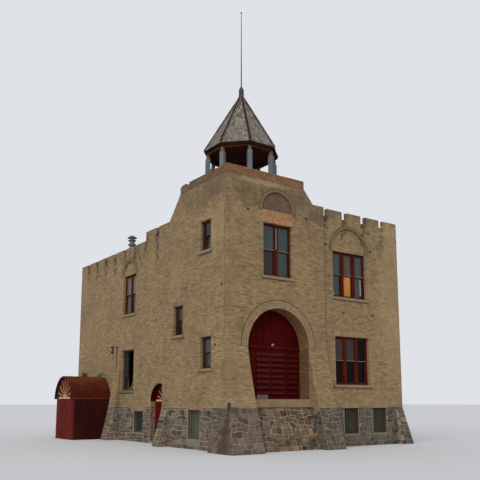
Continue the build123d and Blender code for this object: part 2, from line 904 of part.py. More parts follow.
# Vestibule: three boarded walls, a barrel roof, one door, and a small capped vent
gable_x = side_face - vestibule_length + vestibule_overhang
gable_thick = (gable_x, gable_x + vestibule_wall)
half_width = vestibule_roof_radius - vestibule_side_lap
vestibule_inner = vestibule_roof_radius - vestibule_roof_thick
door_half = vestibule_door_width / 2
door_jambs = (vestibule_centre - door_half, vestibule_centre + door_half)
vestibule_walls = prism_x(half_disc(vestibule_centre, vestibule_eave, vestibule_inner - seat), gable_thick)
vestibule_walls += block(
    gable_thick, (vestibule_centre - half_width, vestibule_centre + half_width), (0, vestibule_eave))
vestibule_walls -= block(
    (gable_x - over, gable_x + vestibule_wall + over), door_jambs, (basement_slab, vestibule_door_head))
bar_level = vestibule_eave + 10
bar_span = (vestibule_centre - vestibule_bar_length / 2, vestibule_centre + vestibule_bar_length / 2)
vestibule_walls += block(
    (gable_x - vestibule_bar_nose, gable_x + bite), bar_span, (bar_level, bar_level + vestibule_bar))
vestibule_walls += turned_sunburst(
    gable_x, vestibule_centre, bar_level + vestibule_bar, vestibule_inner - vestibule_ray_gap)
for outer, inner in ((-half_width, vestibule_wall - half_width), (half_width - vestibule_wall, half_width)):
    vestibule_walls += block(
        (gable_x + vestibule_wall - bite, side_face - seat),
        (vestibule_centre + outer, vestibule_centre + inner), (0, vestibule_eave))
vestibule_roof = prism_x(
    half_ring(vestibule_centre, vestibule_eave, vestibule_inner, vestibule_roof_radius),
    (side_face - vestibule_length, side_face - seat))
vestibule_leaf = (basement_slab + leaf_gap, vestibule_door_head - leaf_gap)
vestibule_door = block(
    (gable_x, gable_x + leaf_thick), (door_jambs[0] + leaf_gap, door_jambs[1] - leaf_gap), vestibule_leaf)
for hinge in knuckles(gable_x, door_jambs[1], -1, vestibule_leaf):
    vestibule_door += hinge
crown = vestibule_eave + vestibule_roof_radius
vent_x = side_face - vent_place
vent_half = vent_size / 2
lid_half = vent_half + vent_lid_lap
vestibule_vent = block((-vent_half, vent_half), (-vent_half, vent_half), (-over, vent_height - vent_lid))
vestibule_vent += block((-lid_half, lid_half), (-lid_half, lid_half), (vent_height - vent_lid, vent_height))
vestibule_vent = Pos(vent_x, vestibule_centre, crown) * vestibule_vent - vestibule_barrel

# Belfry: eight posts in two thicknesses, a ring plate, a soffit, the roof and its finial
corner_angles = [360 / belfry_sides * (i + 0.5) for i in range(belfry_sides)]
plate_foot = eave_level - plate_height
belfry_centre = Pos(belfry_x, belfry_y, 0)
half_boxed = post_boxed / 2
half_slim = post_slim / 2
boxed_levels = (belfry_floor, belfry_floor + boxed_height)
post = block((-half_boxed, half_boxed), (-half_boxed, half_boxed), boxed_levels)
post += block((-half_slim, half_slim), (-half_slim, half_slim), (belfry_floor, plate_foot))
belfry_posts = gathered([
    belfry_centre * (Rot(0, 0, angle) * (Pos(post_circle, 0, 0) * post)) for angle in corner_angles
])


def octagon(radius):
    """Regular outline with its corners over the posts."""
    return Pos(belfry_x, belfry_y) * RegularPolygon(radius, belfry_sides, rotation=180 / belfry_sides)


belfry_plate = prism_z(octagon(post_circle + plate_width / 2), (plate_foot, eave_level))
belfry_plate -= prism_z(octagon(post_circle - plate_width / 2), (plate_foot - over, eave_level + over))
belfry_soffit = prism_z(octagon(eave_radius - soffit_inset), (eave_level, eave_level + soffit_board))


def spire(radius, foot, apex):
    """Eight-sided spire from its foot to its apex."""
    return loft([Plane.XY.offset(foot) * octagon(radius), Plane.XY.offset(apex) * octagon(spire_tip)])


soffit_top = eave_level + soffit_board
fascia_top = soffit_top + fascia_height
slope = (roof_apex - soffit_top) / eave_radius
outer_spire = spire(eave_radius, fascia_top, roof_apex)
belfry_roof = prism_z(octagon(eave_radius), (soffit_top, fascia_top)) + outer_spire
belfry_roof -= spire(eave_radius - 2 * roof_shell, soffit_top - bite, roof_apex - slope * 2 * roof_shell)
finial_foot = roof_apex - finial_sink
rod_foot = finial_foot + finial_height
finial_profile = outline([
    (0, finial_foot),
    (finial_radius * 0.9, finial_foot),
    (finial_radius, finial_foot + finial_height * 0.25),
    (finial_radius, finial_foot + finial_height * 0.72),
    (finial_radius * 0.4, rod_foot),
    (0, rod_foot),
])
belfry_finial = belfry_centre * revolve(Plane.XZ * finial_profile, Axis.Z) - outer_spire
lightning_rod = belfry_centre * (
    Pos(0, 0, (rod_foot + rod_top) / 2) * Cone(rod_radius, rod_tip_radius, rod_top - rod_foot))
lightning_rod += belfry_centre * (Pos(0, 0, rod_top - rod_ball) * Sphere(rod_ball))

# Ventilator that stands on the roof deck behind the side parapet
ventilator_foot = Pos(ventilator_x, ventilator_y, roof_deck_top)
roof_ventilator = ventilator_foot * (
    Pos(0, 0, ventilator_rise / 2) * Cylinder(ventilator_radius, ventilator_rise))
for drop, radius, thick in ventilator_plates:
    roof_ventilator += ventilator_foot * (Pos(0, 0, ventilator_rise - drop) * Cylinder(radius, thick))
ventilator_cap = Cone(ventilator_cap_radius, ventilator_cap_radius / 3, ventilator_cap_height)
roof_ventilator += ventilator_foot * (Pos(0, 0, ventilator_rise) * ventilator_cap)

pieces = {
    "tower_left_foot": tower_left_foot,
    "tower_right_foot": tower_right_foot,
    "arch_infill": arch_infill,
    "tower_side_base": tower_side_base,
    "front_base": front_base,
    "side_base_front": side_base_front,
    "side_base_rear": side_base_rear,
    "right_base": right_base,
    "rear_base": rear_base,
    "tower_left_pier": tower_left_pier,
    "tower_right_pier": tower_right_pier,
    "tower_arch_wall": tower_arch_wall,
    "great_arch_ring": great_arch_ring,
    "tower_upper_front": tower_upper_front,
    "tower_side_wall": tower_side_wall,
    "tower_shoulders": tower_shoulders,
    "tower_brick_cap": tower_brick_cap,
    "front_wall": front_wall,
    "side_door_arch": side_door_arch,
    "side_wall_front": side_wall_front,
    "side_wall_rear": side_wall_rear,
    "right_wall": right_wall,
    "rear_wall": rear_wall,
    "basement_floor": basement_floor,
    "main_floor": main_floor,
    "upper_floor": upper_floor,
    "roof_deck": roof_deck,
    "belfry_deck": belfry_deck,
    "great_door": great_door,
    "great_door_sill": great_door_sill,
    "tower_windows": tower_windows,
    "front_window_frames": front_window_frames,
    "side_window_frames": side_window_frames,
    "back_window_frames": back_window_frames,
    "window_glass": window_glass,
    "basement_frames": basement_frames,
    "window_sills": window_sills,
    "window_lintels": window_lintels,
    "arch_hoods": arch_hoods,
    "side_door_frame": side_door_frame,
    "door_threshold": door_threshold,
    "side_door_near": side_door_near,
    "side_door_far": side_door_far,
    "vestibule_walls": vestibule_walls,
    "vestibule_roof": vestibule_roof,
    "vestibule_door": vestibule_door,
    "vestibule_vent": vestibule_vent,
    "belfry_posts": belfry_posts,
    "belfry_plate": belfry_plate,
    "belfry_soffit": belfry_soffit,
    "belfry_roof": belfry_roof,
    "belfry_finial": belfry_finial,
    "lightning_rod": lightning_rod,
    "roof_ventilator": roof_ventilator,
}

# The finished hall stands with the middle of its plan over the origin
reach_x = (side_face - vestibule_length, front_width + end_flare)
reach_y = (-front_flare, building_depth + trim_sill_nose)
middle = (sum(reach_x) / 2, sum(reach_y) / 2)
for name, piece in pieces.items():
    export_step(Pos(-middle[0], -middle[1], 0) * piece, f"parts/{name}.step")
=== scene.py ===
import bmesh
import bpy
import math
import random
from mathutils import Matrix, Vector, noise
from mathutils.bvhtree import BVHTree


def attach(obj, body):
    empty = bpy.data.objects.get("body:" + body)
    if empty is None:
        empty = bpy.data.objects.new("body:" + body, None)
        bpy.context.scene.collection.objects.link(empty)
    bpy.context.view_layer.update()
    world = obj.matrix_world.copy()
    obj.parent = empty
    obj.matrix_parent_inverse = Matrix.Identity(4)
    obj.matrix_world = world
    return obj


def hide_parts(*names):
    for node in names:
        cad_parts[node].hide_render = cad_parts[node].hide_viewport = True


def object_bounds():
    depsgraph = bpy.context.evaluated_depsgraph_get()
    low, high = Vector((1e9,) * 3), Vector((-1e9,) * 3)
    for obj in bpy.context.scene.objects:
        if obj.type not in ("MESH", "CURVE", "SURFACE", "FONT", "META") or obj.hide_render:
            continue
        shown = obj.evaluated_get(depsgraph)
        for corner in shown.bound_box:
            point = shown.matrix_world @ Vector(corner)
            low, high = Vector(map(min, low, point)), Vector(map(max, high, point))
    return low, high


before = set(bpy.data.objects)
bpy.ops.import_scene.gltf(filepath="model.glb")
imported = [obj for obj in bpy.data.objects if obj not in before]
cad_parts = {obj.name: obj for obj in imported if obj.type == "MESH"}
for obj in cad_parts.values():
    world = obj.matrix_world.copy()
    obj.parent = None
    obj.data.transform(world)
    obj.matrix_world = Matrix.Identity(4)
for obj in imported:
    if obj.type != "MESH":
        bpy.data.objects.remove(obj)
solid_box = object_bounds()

# Fieldstone base. The real one is squared fieldstone and granite laid in rough courses, with a
# raised ribbon of pale lime mortar. Each stone here is one block, set proud of the mortar bed,
# which is the solid base itself; the feet of the piers take wider, flatter stones.
tower_corner = Vector((-4.055, -7.025, 0.0))
front_width = 9.3
building_depth = 15.0
tower_width = 4.8
tower_depth = 4.7
side_setback = 0.5
front_setback = 0.1
stone_top = 1.57
joint = 0.022
stone_relief = 0.017
stone_tones = ["#2b2622", "#4f453b", "#675a4d", "#544942", "#796b5f", "#3e3b39", "#705c48", "#4c3d33", "#857259"]
pier_tones = ["#43382f", "#66574b", "#54463b", "#746353", "#3d342d", "#695548"]
rubble_tones = ["#2e261e", "#5c4a3a", "#776044", "#463629", "#6b5a49", "#27211b", "#744f3a", "#554a3f", "#867256"]
jamb_tones = ["#5c4538", "#6e5648", "#4a3a30", "#7a6252"]
grey_tones = ["#433c34", "#544b3f", "#38342d", "#5d5345", "#4b4036"]


def linear(code):
    """Linear colour of an sRGB hex value."""
    parts = [int(code[i:i + 2], 16) / 255 for i in (1, 3, 5)]
    return tuple(c / 12.92 if c <= 0.04045 else ((c + 0.055) / 1.055) ** 2.4 for c in parts) + (1.0,)


def add(tree, kind, settings=None, inputs=None):
    """Adds a node with its settings, its colour stops, and a value or a link for each input."""
    made = tree.nodes.new(kind)
    for name, value in (settings or {}).items():
        if name != "stops":
            setattr(made, name, value)
            continue
        elements = made.color_ramp.elements
        elements.remove(elements[1])
        for place, tone in value:
            element = elements[0] if place == value[0][0] else elements.new(place)
            element.position = place
            element.color = linear(tone)
    for name, value in (inputs or {}).items():
        if isinstance(value, bpy.types.NodeSocket):
            tree.links.new(value, made.inputs[name])
        else:
            made.inputs[name].default_value = value
    return made


def tone_stops(tones):
    """Even colour stops for a list of tones."""
    return [(i / (len(tones) - 1), tone) for i, tone in enumerate(tones)]


def new_finish(name, roughness):
    """Material with its shader, and the object coordinates that its patterns read."""
    material = bpy.data.materials.new(name)
    material.use_nodes = True
    tree = material.node_tree
    shader = tree.nodes["Principled BSDF"]
    shader.inputs["Roughness"].default_value = roughness
    place = add(tree, "ShaderNodeTexCoord").outputs["Object"]
    return material, tree, shader, place


def bumped(tree, shader, height, depth):
    """Gives a shader relief from a height, in metres for a height of one."""
    bump = add(tree, "ShaderNodeBump", {}, {"Strength": 1.0, "Distance": depth, "Height": height})
    tree.links.new(bump.outputs["Normal"], shader.inputs["Normal"])


def mottled(tree, base, place, scale, low, high, amount=1.0):
    """Darkens and lightens a colour with soft noise of a given scale per metre."""
    noise = add(tree, "ShaderNodeTexNoise", {}, {"Vector": place, "Scale": scale, "Detail": 4.0, "Roughness": 0.6})
    spread = add(tree, "ShaderNodeMapRange", {}, {
        "Value": noise.outputs["Fac"], "From Min": 0.3, "From Max": 0.7, "To Min": low, "To Max": high})
    return add(tree, "ShaderNodeMix", {"data_type": "RGBA", "blend_type": "MULTIPLY"}, {
        "Factor": amount, 6: base, 7: spread.outputs["Result"]}).outputs[2]


def stained(tree, base, place, spout, drop, drift, spread):
    """Dark stain that fans out below a spout on a face to the left, down to the ground."""
    local = add(tree, "ShaderNodeVectorMath", {"operation": "SUBTRACT"}, {0: place, 1: spout})
    split = add(tree, "ShaderNodeSeparateXYZ", {}, {0: local.outputs[0]})
    fallen = add(tree, "ShaderNodeMath", {"operation": "DIVIDE"}, {0: split.outputs[2], 1: -drop})
    middle = add(tree, "ShaderNodeMath", {"operation": "MULTIPLY_ADD"}, {
        0: fallen.outputs[0], 1: drift, 2: split.outputs[1]})
    off = add(tree, "ShaderNodeMath", {"operation": "ABSOLUTE"}, {0: middle.outputs[0]})
    half = add(tree, "ShaderNodeMath", {"operation": "MULTIPLY_ADD"}, {0: fallen.outputs[0], 1: spread, 2: 0.09})
    share = add(tree, "ShaderNodeMath", {"operation": "DIVIDE"}, {0: off.outputs[0], 1: half.outputs[0]})
    wet = add(tree, "ShaderNodeMapRange", {}, {
        "Value": share.outputs[0], "From Min": 0.4, "From Max": 1.1, "To Min": 0.78, "To Max": 0.0})
    below = add(tree, "ShaderNodeMath", {"operation": "GREATER_THAN"}, {0: fallen.outputs[0], 1: 0.0})
    flank = add(tree, "ShaderNodeMath", {"operation": "LESS_THAN"}, {0: split.outputs[0], 1: 0.3})
    wet = add(tree, "ShaderNodeMath", {"operation": "MULTIPLY"}, {0: wet.outputs[0], 1: below.outputs[0]})
    wet = add(tree, "ShaderNodeMath", {"operation": "MULTIPLY"}, {0: wet.outputs[0], 1: flank.outputs[0]})
    return add(tree, "ShaderNodeMix", {"data_type": "RGBA"}, {
        "Factor": wet.outputs[0], 6: base, 7: linear("#38280f")}).outputs[2]


scupper = tower_corner + Vector((-0.22, -0.49, 1.62))


def blotched(tree, base, place, centre, reach, amount, tone):
    """Lays a tone over an egg-shaped area of a face, thickest at its centre and broken at its edge."""
    local = add(tree, "ShaderNodeVectorMath", {"operation": "SUBTRACT"}, {0: place, 1: tower_corner + Vector(centre)})
    scaled = add(tree, "ShaderNodeVectorMath", {"operation": "DIVIDE"}, {0: local.outputs[0], 1: reach})
    away = add(tree, "ShaderNodeVectorMath", {"operation": "LENGTH"}, {0: scaled.outputs[0]})
    cloud = add(tree, "ShaderNodeTexNoise", {}, {"Vector": place, "Scale": 4.0, "Detail": 6.0, "Roughness": 0.65})
    edge = add(tree, "ShaderNodeMath", {"operation": "MULTIPLY_ADD"}, {
        0: cloud.outputs["Fac"], 1: -2.6, 2: away.outputs["Value"]})
    laid = add(tree, "ShaderNodeMapRange", {}, {
        "Value": edge.outputs[0], "From Min": -0.75, "From Max": -0.3, "To Min": amount, "To Max": 0.0})
    return add(tree, "ShaderNodeMix", {"data_type": "RGBA"}, {
        "Factor": laid.outputs[0], 6: base, 7: linear(tone)}).outputs[2]


def stone_finish(name, tones, low=0.72, patches=()):
    """Split fieldstone: a tone to each stone, grain in the millimetres, and a matt broken face."""
    material, tree, shader, place = new_finish(name, 0.9)
    tone = add(tree, "ShaderNodeAttribute", {"attribute_name": "shade"})
    ramp = add(tree, "ShaderNodeValToRGB", {"stops": tone_stops(tones)}, {"Fac": tone.outputs["Fac"]})
    base = mottled(tree, ramp.outputs["Color"], place, 9.0, 0.72, 1.25)
    base = mottled(tree, base, place, 60.0, 0.85, 1.15)
    base = mottled(tree, base, place, 0.9, low, 1.16)
    base = stained(tree, base, place, scupper, 1.62, -0.12, 0.40)
    for centre, reach, amount, dark in patches:
        base = blotched(tree, base, place, centre, reach, amount, dark)
    tree.links.new(base, shader.inputs["Base Color"])
    grain = add(tree, "ShaderNodeTexNoise", {}, {"Vector": place, "Scale": 45.0, "Detail": 6.0})
    bumped(tree, shader, grain.outputs["Fac"], 0.008)
    return material


def mortar_finish(name, tone, patches=()):
    """Lime mortar: pale, sandy and stained by rain."""
    material, tree, shader, place = new_finish(name, 0.95)
    plain = add(tree, "ShaderNodeRGB")
    plain.outputs[0].default_value = linear(tone)
    base = mottled(tree, plain.outputs[0], place, 1.2, 0.75, 1.12)
    base = mottled(tree, base, place, 30.0, 0.85, 1.12)
    base = stained(tree, base, place, scupper, 1.62, -0.12, 0.40)
    for centre, reach, amount, dark in patches:
        base = blotched(tree, base, place, centre, reach, amount, dark)
    tree.links.new(base, shader.inputs["Base Color"])
    sand = add(tree, "ShaderNodeTexNoise", {}, {"Vector": place, "Scale": 120.0, "Detail": 3.0})
    bumped(tree, shader, sand.outputs["Fac"], 0.004)
    return material


def dress(nodes, material):
    """Gives CAD nodes a finish."""
    for name in nodes:
        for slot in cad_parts[name].material_slots:
            slot.material = material


def new_tree(name, values):
    """Geometry Nodes tree with named inputs; gives the tree, its input node and its output node."""
    tree = bpy.data.node_groups.new(name, "GeometryNodeTree")
    tree.interface.new_socket("Geometry", in_out="INPUT", socket_type="NodeSocketGeometry")
    for label, kind in values:
        tree.interface.new_socket(label, in_out="INPUT", socket_type="NodeSocket" + kind)
    tree.interface.new_socket("Geometry", in_out="OUTPUT", socket_type="NodeSocketGeometry")
    return tree, add(tree, "NodeGroupInput"), add(tree, "NodeGroupOutput")


def grow(piece, tree, values):
    """Runs a tree on a piece with its values, and leaves a plain mesh."""
    modifier = piece.modifiers.new(tree.name, "NODES")
    modifier.node_group = tree
    for item in tree.interface.items_tree:
        if item.in_out == "INPUT" and item.name in values:
            modifier[item.identifier] = values[item.name]
    scene_graph = bpy.context.evaluated_depsgraph_get()
    grown = bpy.data.meshes.new_from_object(
        piece.evaluated_get(scene_graph), preserve_all_data_layers=True, depsgraph=scene_graph)
    piece.modifiers.remove(modifier)
    piece.data = grown
    return piece


def new_piece(name, points, faces, edges=()):
    """Object at the origin with a mesh of its own."""
    mesh = bpy.data.meshes.new(name)
    mesh.from_pydata([tuple(point) for point in points], list(edges), faces)
    mesh.update()
    piece = bpy.data.objects.new(name, mesh)
    bpy.context.scene.collection.objects.link(piece)
    return piece


def stone_tree():
    """Turns flat stone outlines into blocks with a chamfered, broken face."""
    tree, given, result = new_tree("stone_blocks", [
        ("Relief", "Float"), ("Chamfer", "Float"), ("Roughness", "Float"), ("Seed", "Int"), ("Material", "Material")])
    shade = add(tree, "FunctionNodeRandomValue", {"data_type": "FLOAT"}, {"Seed": given.outputs["Seed"]})
    stored = add(tree, "GeometryNodeStoreNamedAttribute", {"data_type": "FLOAT", "domain": "FACE"}, {
        "Geometry": given.outputs["Geometry"], "Name": "shade", "Value": shade.outputs[1]})
    low = add(tree, "ShaderNodeMath", {"operation": "MULTIPLY"}, {0: given.outputs["Relief"], 1: 0.55})
    depth = add(tree, "FunctionNodeRandomValue", {"data_type": "FLOAT"}, {
        2: low.outputs[0], 3: given.outputs["Relief"], "Seed": 7})
    block = add(tree, "GeometryNodeExtrudeMesh", {"mode": "FACES"}, {
        "Mesh": stored.outputs[0], "Offset Scale": depth.outputs[1], "Individual": True})
    worn = add(tree, "GeometryNodeScaleElements", {"domain": "FACE"}, {
        "Geometry": block.outputs["Mesh"], "Selection": block.outputs["Top"], "Scale": given.outputs["Chamfer"]})
    back = add(tree, "GeometryNodeFlipFaces", {}, {"Mesh": stored.outputs[0]})
    joined = add(tree, "GeometryNodeJoinGeometry")
    tree.links.new(worn.outputs[0], joined.inputs[0])
    tree.links.new(back.outputs[0], joined.inputs[0])
    closed = add(tree, "GeometryNodeMergeByDistance", {}, {"Geometry": joined.outputs[0], "Distance": 0.0004})
    finer = add(tree, "GeometryNodeSubdivideMesh", {}, {"Mesh": closed.outputs[0], "Level": 1})
    noise = add(tree, "ShaderNodeTexNoise", {}, {"Scale": 7.0, "Detail": 3.0})
    centred = add(tree, "ShaderNodeVectorMath", {"operation": "SUBTRACT"}, {
        0: noise.outputs["Color"], 1: (0.5, 0.5, 0.5)})
    push = add(tree, "ShaderNodeVectorMath", {"operation": "SCALE"}, {
        0: centred.outputs[0], "Scale": given.outputs["Roughness"]})
    broken = add(tree, "GeometryNodeSetPosition", {}, {"Geometry": finer.outputs[0], "Offset": push.outputs[0]})
    real = add(tree, "GeometryNodeRealizeInstances", {}, {"Geometry": broken.outputs[0]})
    painted = add(tree, "GeometryNodeSetMaterial", {}, {
        "Geometry": real.outputs[0], "Material": given.outputs["Material"]})
    tree.links.new(painted.outputs[0], result.inputs[0])
    return tree


def sweep(spread, bend, top):
    """How far a flared face stands out at a level."""
    return lambda level: spread * max(0.0, (top - level) / top) ** bend


looks = {"front": (0, 1), "rear": (0, -1), "left": (1, 0), "right": (-1, 0)}


def surface_of(names):
    """Surface of CAD nodes that rays can be cast at."""
    points, faces = [], []
    for name in names:
        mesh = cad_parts[name].data
        start = len(points)
        points += [vertex.co.copy() for vertex in mesh.vertices]
        faces += [[start + index for index in polygon.vertices] for polygon in mesh.polygons]
    return BVHTree.FromPolygons(points, faces)


def less(rects, hole):
    """Rectangles less a hole, each as (left, right, foot, head)."""
    kept = []
    for left, right, foot, head in rects:
        if right <= hole[0] or left >= hole[1] or head <= hole[2] or foot >= hole[3]:
            kept.append((left, right, foot, head))
            continue
        low, high = max(foot, hole[2]), min(head, hole[3])
        parts = [(left, hole[0], low, high), (hole[1], right, low, high),
                 (left, right, foot, hole[2]), (left, right, hole[3], head)]
        kept += [part for part in parts if part[1] - part[0] > 0.05 and part[3] - part[2] > 0.045]
    return kept


def coursed(span, levels, holes, wide, tall, draw):
    """Rectangles of stones laid in courses of uneven height."""
    rects = []
    foot = levels[0]
    while foot < levels[1] - 0.03:
        head = foot + draw.uniform(*tall)
        if levels[1] - head < tall[0] * 0.7:
            head = levels[1]
        left = span[0]
        while left < span[1] - 0.02:
            right = left + draw.uniform(*wide)
            if span[1] - right < wide[0] * 0.6:
                right = span[1]
            if draw.random() < 0.22 and head - foot > tall[0] * 1.25:
                middle = foot + (head - foot) * draw.uniform(0.42, 0.58)
                rects += [(left, right, foot, middle), (left, right, middle, head)]
            else:
                rects.append((left, right, foot, head))
            left = right
        foot = head
    for hole in holes:
        rects = less(rects, hole)
    return rects


def laid_stones(stretches, draw):
    """Corner points and faces of the stones on several stretches of wall."""
    points, faces = [], []
    for stretch in stretches:
        look = looks[stretch["look"]]
        surface = surface_of(stretch["on"])
        edge_low, edge_high = stretch["edges"]
        for left, right, foot, head in coursed(
                stretch["span"], stretch["levels"], stretch["holes"], stretch["wide"], stretch["tall"], draw):
            half = joint / 2
            left, right, foot, head = left + half, right - half, foot + half, head - half
            cut = stretch["cut"]
            width, height = right - left, head - foot
            ring = []
            for (x, z), (dx, dz) in (((left, foot), (1, 1)), ((right, foot), (-1, 1)),
                                     ((right, head), (-1, -1)), ((left, head), (1, -1))):
                a, b = draw.uniform(0.2, 1.0) * cut, draw.uniform(0.2, 1.0) * cut
                pair = [(x + dx * a * width, z), (x, z + dz * b * height)]
                ring += pair if dx * dz < 0 else pair[::-1]
            placed = []
            for along, level in ring:
                reach = (along - stretch["span"][0], stretch["span"][1] - along,
                         level - stretch["levels"][0], stretch["levels"][1] - level)
                clear = min([0.3, *reach] + [math.hypot(max(near - along, 0, along - far), max(low - level, 0, level - high))
                                     for near, far, low, high in stretch["holes"]])
                drift = noise.noise_vector(Vector((along * 2.1, level * 2.1, stretch["from"])))
                along += drift.x * stretch["warp"] * clear / 0.3
                level += drift.y * stretch["warp"] * clear / 0.3
                along = min(max(along, stretch["span"][0] + 0.008), stretch["span"][1] - 0.008)
                level = min(max(level, stretch["levels"][0]), stretch["levels"][1])
                along = min(max(along, edge_low(level) + 0.008), edge_high(level) - 0.008)
                start = Vector((tower_corner.x + along, tower_corner.y - 3.0 - stretch["from"], level))
                if stretch["look"] == "rear":
                    start.y = tower_corner.y + stretch["from"]
                if look[0]:
                    start = Vector((tower_corner.x - stretch["from"], tower_corner.y + along, level))
                    if stretch["look"] == "right":
                        start.x = tower_corner.x + stretch["from"]
                hit = surface.ray_cast(start, Vector((look[0], look[1], 0)), stretch["reach"])
                if hit[0] is None:
                    break
                placed.append(hit[0])
            if len(placed) < len(ring):
                continue
            flat = [(placed[i] - placed[i - 1]).length for i in range(len(placed))]
            if min(flat) < 0.004 or sum(flat) < 0.2:
                continue
            normal = (placed[4] - placed[0]).cross(placed[6] - placed[2])
            if normal.dot(Vector((look[0], look[1], 0))) > 0:
                placed.reverse()
            faces.append(list(range(len(points), len(points) + len(placed))))
            points += placed
    return points, faces


front_flare = sweep(1.0, 1.2, 3.8)
corner_flare = sweep(0.45, 1.3, 3.8)
foot_flare = sweep(0.43, 1.1, stone_top)
end_flare = sweep(0.3, 1.1, stone_top)
buttress_flare = sweep(0.65, 1.75, 4.25)
arch_left, arch_right = 0.925, 3.875
free = (lambda level: -99.0, lambda level: 99.0)
base_levels = (0.0, stone_top - 0.01)


def stretch(look, on, span, wide, tall, start, reach=4.0, edges=free, cut=0.12, holes=(), levels=base_levels, warp=0.14):
    """One stretch of stonework: the way it faces, its nodes, its span, and the sizes of its stones."""
    return {"look": look, "on": on, "span": span, "wide": wide, "tall": tall, "from": start, "reach": reach,
            "edges": edges, "cut": cut, "holes": holes, "levels": levels, "warp": warp}


squared = ((0.15, 0.42), (0.12, 0.26))
foot_stones = ((0.18, 0.42), (0.13, 0.24))
# Dark patches on the rubble infill and its mortar, under the sill and at the foot.
infill_dark_patches = [((1.25, -0.05, 1.42), (0.3, 1.0, 0.2), 0.8, "#1c150e"), ((3.55, -0.1, 0.25), (0.35, 1.0, 0.18), 0.8, "#15110b"),
               ((2.4, -0.1, 0.3), (0.18, 1.0, 0.2), 0.7, "#1c150e")]
fieldstone_stretches = [
    stretch("left", ["tower_left_foot", "tower_side_base"], (0.56, 4.25), *squared, 3.0,
            holes=[(1.77, 2.65, 0.35, 1.46), (1.66, 2.76, 1.45, 1.57)]),
    stretch("left", ["tower_side_base"], (4.25, 4.7), *squared, 3.0),
    stretch("front", ["tower_side_base"], (-0.5, 0.0), *squared, 0.0, 9.0,
            edges=(lambda level: -foot_flare(level), lambda level: 0.0)),
    stretch("rear", ["tower_side_base"], (-0.5, 0.5), *squared, 5.2, 1.0,
            edges=(lambda level: -foot_flare(level), lambda level: 0.5)),
    stretch("left", ["side_base_front"], (4.7, 5.11), *squared, 3.0),
    stretch("left", ["side_base_rear"], (6.65, 9.74), *squared, 3.0,
            holes=[(7.32, 8.22, 0.38, 1.38), (7.22, 8.32, 1.34, 1.57)]),
    stretch("left", ["side_base_rear"], (9.76, 10.34), *squared, 3.0),
    stretch("left", ["side_base_rear"], (10.36, 10.8), *squared, 3.0),
    stretch("left", ["side_base_rear"], (13.0, 15.0), *squared, 3.0),
    stretch("front", ["side_base_rear"], (-0.2, 0.5), (0.14, 0.3), (0.13, 0.29), -11.5, 2.0,
            edges=(lambda level: 0.5 - buttress_flare(level), lambda level: 0.5)),
    stretch("rear", ["side_base_rear"], (-0.2, 0.5), *squared, 10.75, 1.0,
            edges=(lambda level: 0.5 - buttress_flare(level), lambda level: 0.5)),
    stretch("right", ["front_base", "right_base", "rear_base"], (-0.2, 15.0), *squared, 12.0,
            edges=(lambda level: 0.1 - end_flare(level), lambda level: 15.0)),
    stretch("rear", ["front_base"], (9.3, 9.6), *squared, 2.0, 3.0,
            edges=(lambda level: 9.3, lambda level: 9.3 + end_flare(level))),
    stretch("rear", ["rear_base", "side_base_rear"], (0.5, 9.3), *squared, 18.0),
]
pier_stretches = [
    stretch("front", ["tower_left_foot"], (-0.45, arch_left), *foot_stones, 0.0, 5.0,
            edges=(lambda level: -corner_flare(level), lambda level: arch_left)),
    stretch("left", ["tower_left_foot"], (-1.0, 0.55), *foot_stones, 3.0, 5.0,
            edges=(lambda level: -front_flare(level), lambda level: 0.55)),
    stretch("rear", ["tower_left_foot"], (-0.45, 0.0), *squared, 0.68, 1.0,
            edges=(lambda level: -corner_flare(level), lambda level: 0.0)),
    stretch("right", ["tower_left_foot"], (-1.0, -0.12), *squared, 2.5, 3.0,
            edges=(lambda level: -front_flare(level), lambda level: -0.12 - 0.4 * (1 - level / stone_top))),
]
rubble_stretches = [
    stretch("front", ["arch_infill"], (arch_left, arch_right), (0.13, 0.36), (0.11, 0.23), 0.0, 5.0, cut=0.2,
            levels=(0.0, 1.56), warp=0.16),
]
grey_stretches = [
    stretch("front", ["tower_right_foot"], (arch_right, 4.8), *squared, 0.0, 5.0),
    stretch("left", ["tower_right_foot"], (-1.0, -0.12), *squared, -3.0, 2.0,
            edges=(lambda level: -front_flare(level), lambda level: -0.12 - 0.4 * (1 - level / stone_top))),
    stretch("right", ["tower_right_foot"], (-1.0, 0.1), *squared, 6.0, 3.0,
            edges=(lambda level: -front_flare(level), lambda level: 0.1)),
    stretch("front", ["front_base"], (4.82, 9.6), *squared, 0.0, 5.0,
            edges=(lambda level: 4.8, lambda level: 9.3 + end_flare(level)),
            holes=[(5.78, 6.62, 0.48, 1.57), (7.43, 8.27, 0.48, 1.57)]),
]
jamb_stretches = [
    stretch("front", ["side_base_rear"], (0.51, 0.735), (0.1, 0.24), (0.12, 0.26), -8.9, 1.0),
]
stone_blocks = stone_tree()
draw = random.Random(4)
for name, stretches, tones, chamfer, roughness in (
        ("side_fieldstones", fieldstone_stretches, stone_tones, 0.9, 0.012),
        ("pier_stones", pier_stretches, pier_tones, 0.94, 0.01),
        ("arch_rubble", rubble_stretches, rubble_tones, 0.84, 0.03),
        ("front_fieldstones", grey_stretches, grey_tones, 0.9, 0.012),
        ("doorway_jamb_stones", jamb_stretches, jamb_tones, 0.9, 0.008)):
    stones = new_piece(name, *laid_stones(stretches, draw))
    grow(stones, stone_blocks, {
        "Relief": 0.032 if name == "arch_rubble" else stone_relief, "Chamfer": chamfer, "Roughness": roughness, "Seed": 3,
        "Material": stone_finish(name, tones, 0.5, infill_dark_patches) if name == "arch_rubble" else stone_finish(name, tones)})
    for vertex in stones.data.vertices:
        for axis, (low, high) in enumerate(zip(*solid_box)):
            vertex.co[axis] = min(max(vertex.co[axis], low), high)
    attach(stones, "hall")
dress(["tower_side_base", "side_base_front", "side_base_rear", "right_base", "rear_base"],
      mortar_finish("lime_mortar", "#98876c"))
dress(["arch_infill"], mortar_finish("infill_mortar", "#907f67", infill_dark_patches))
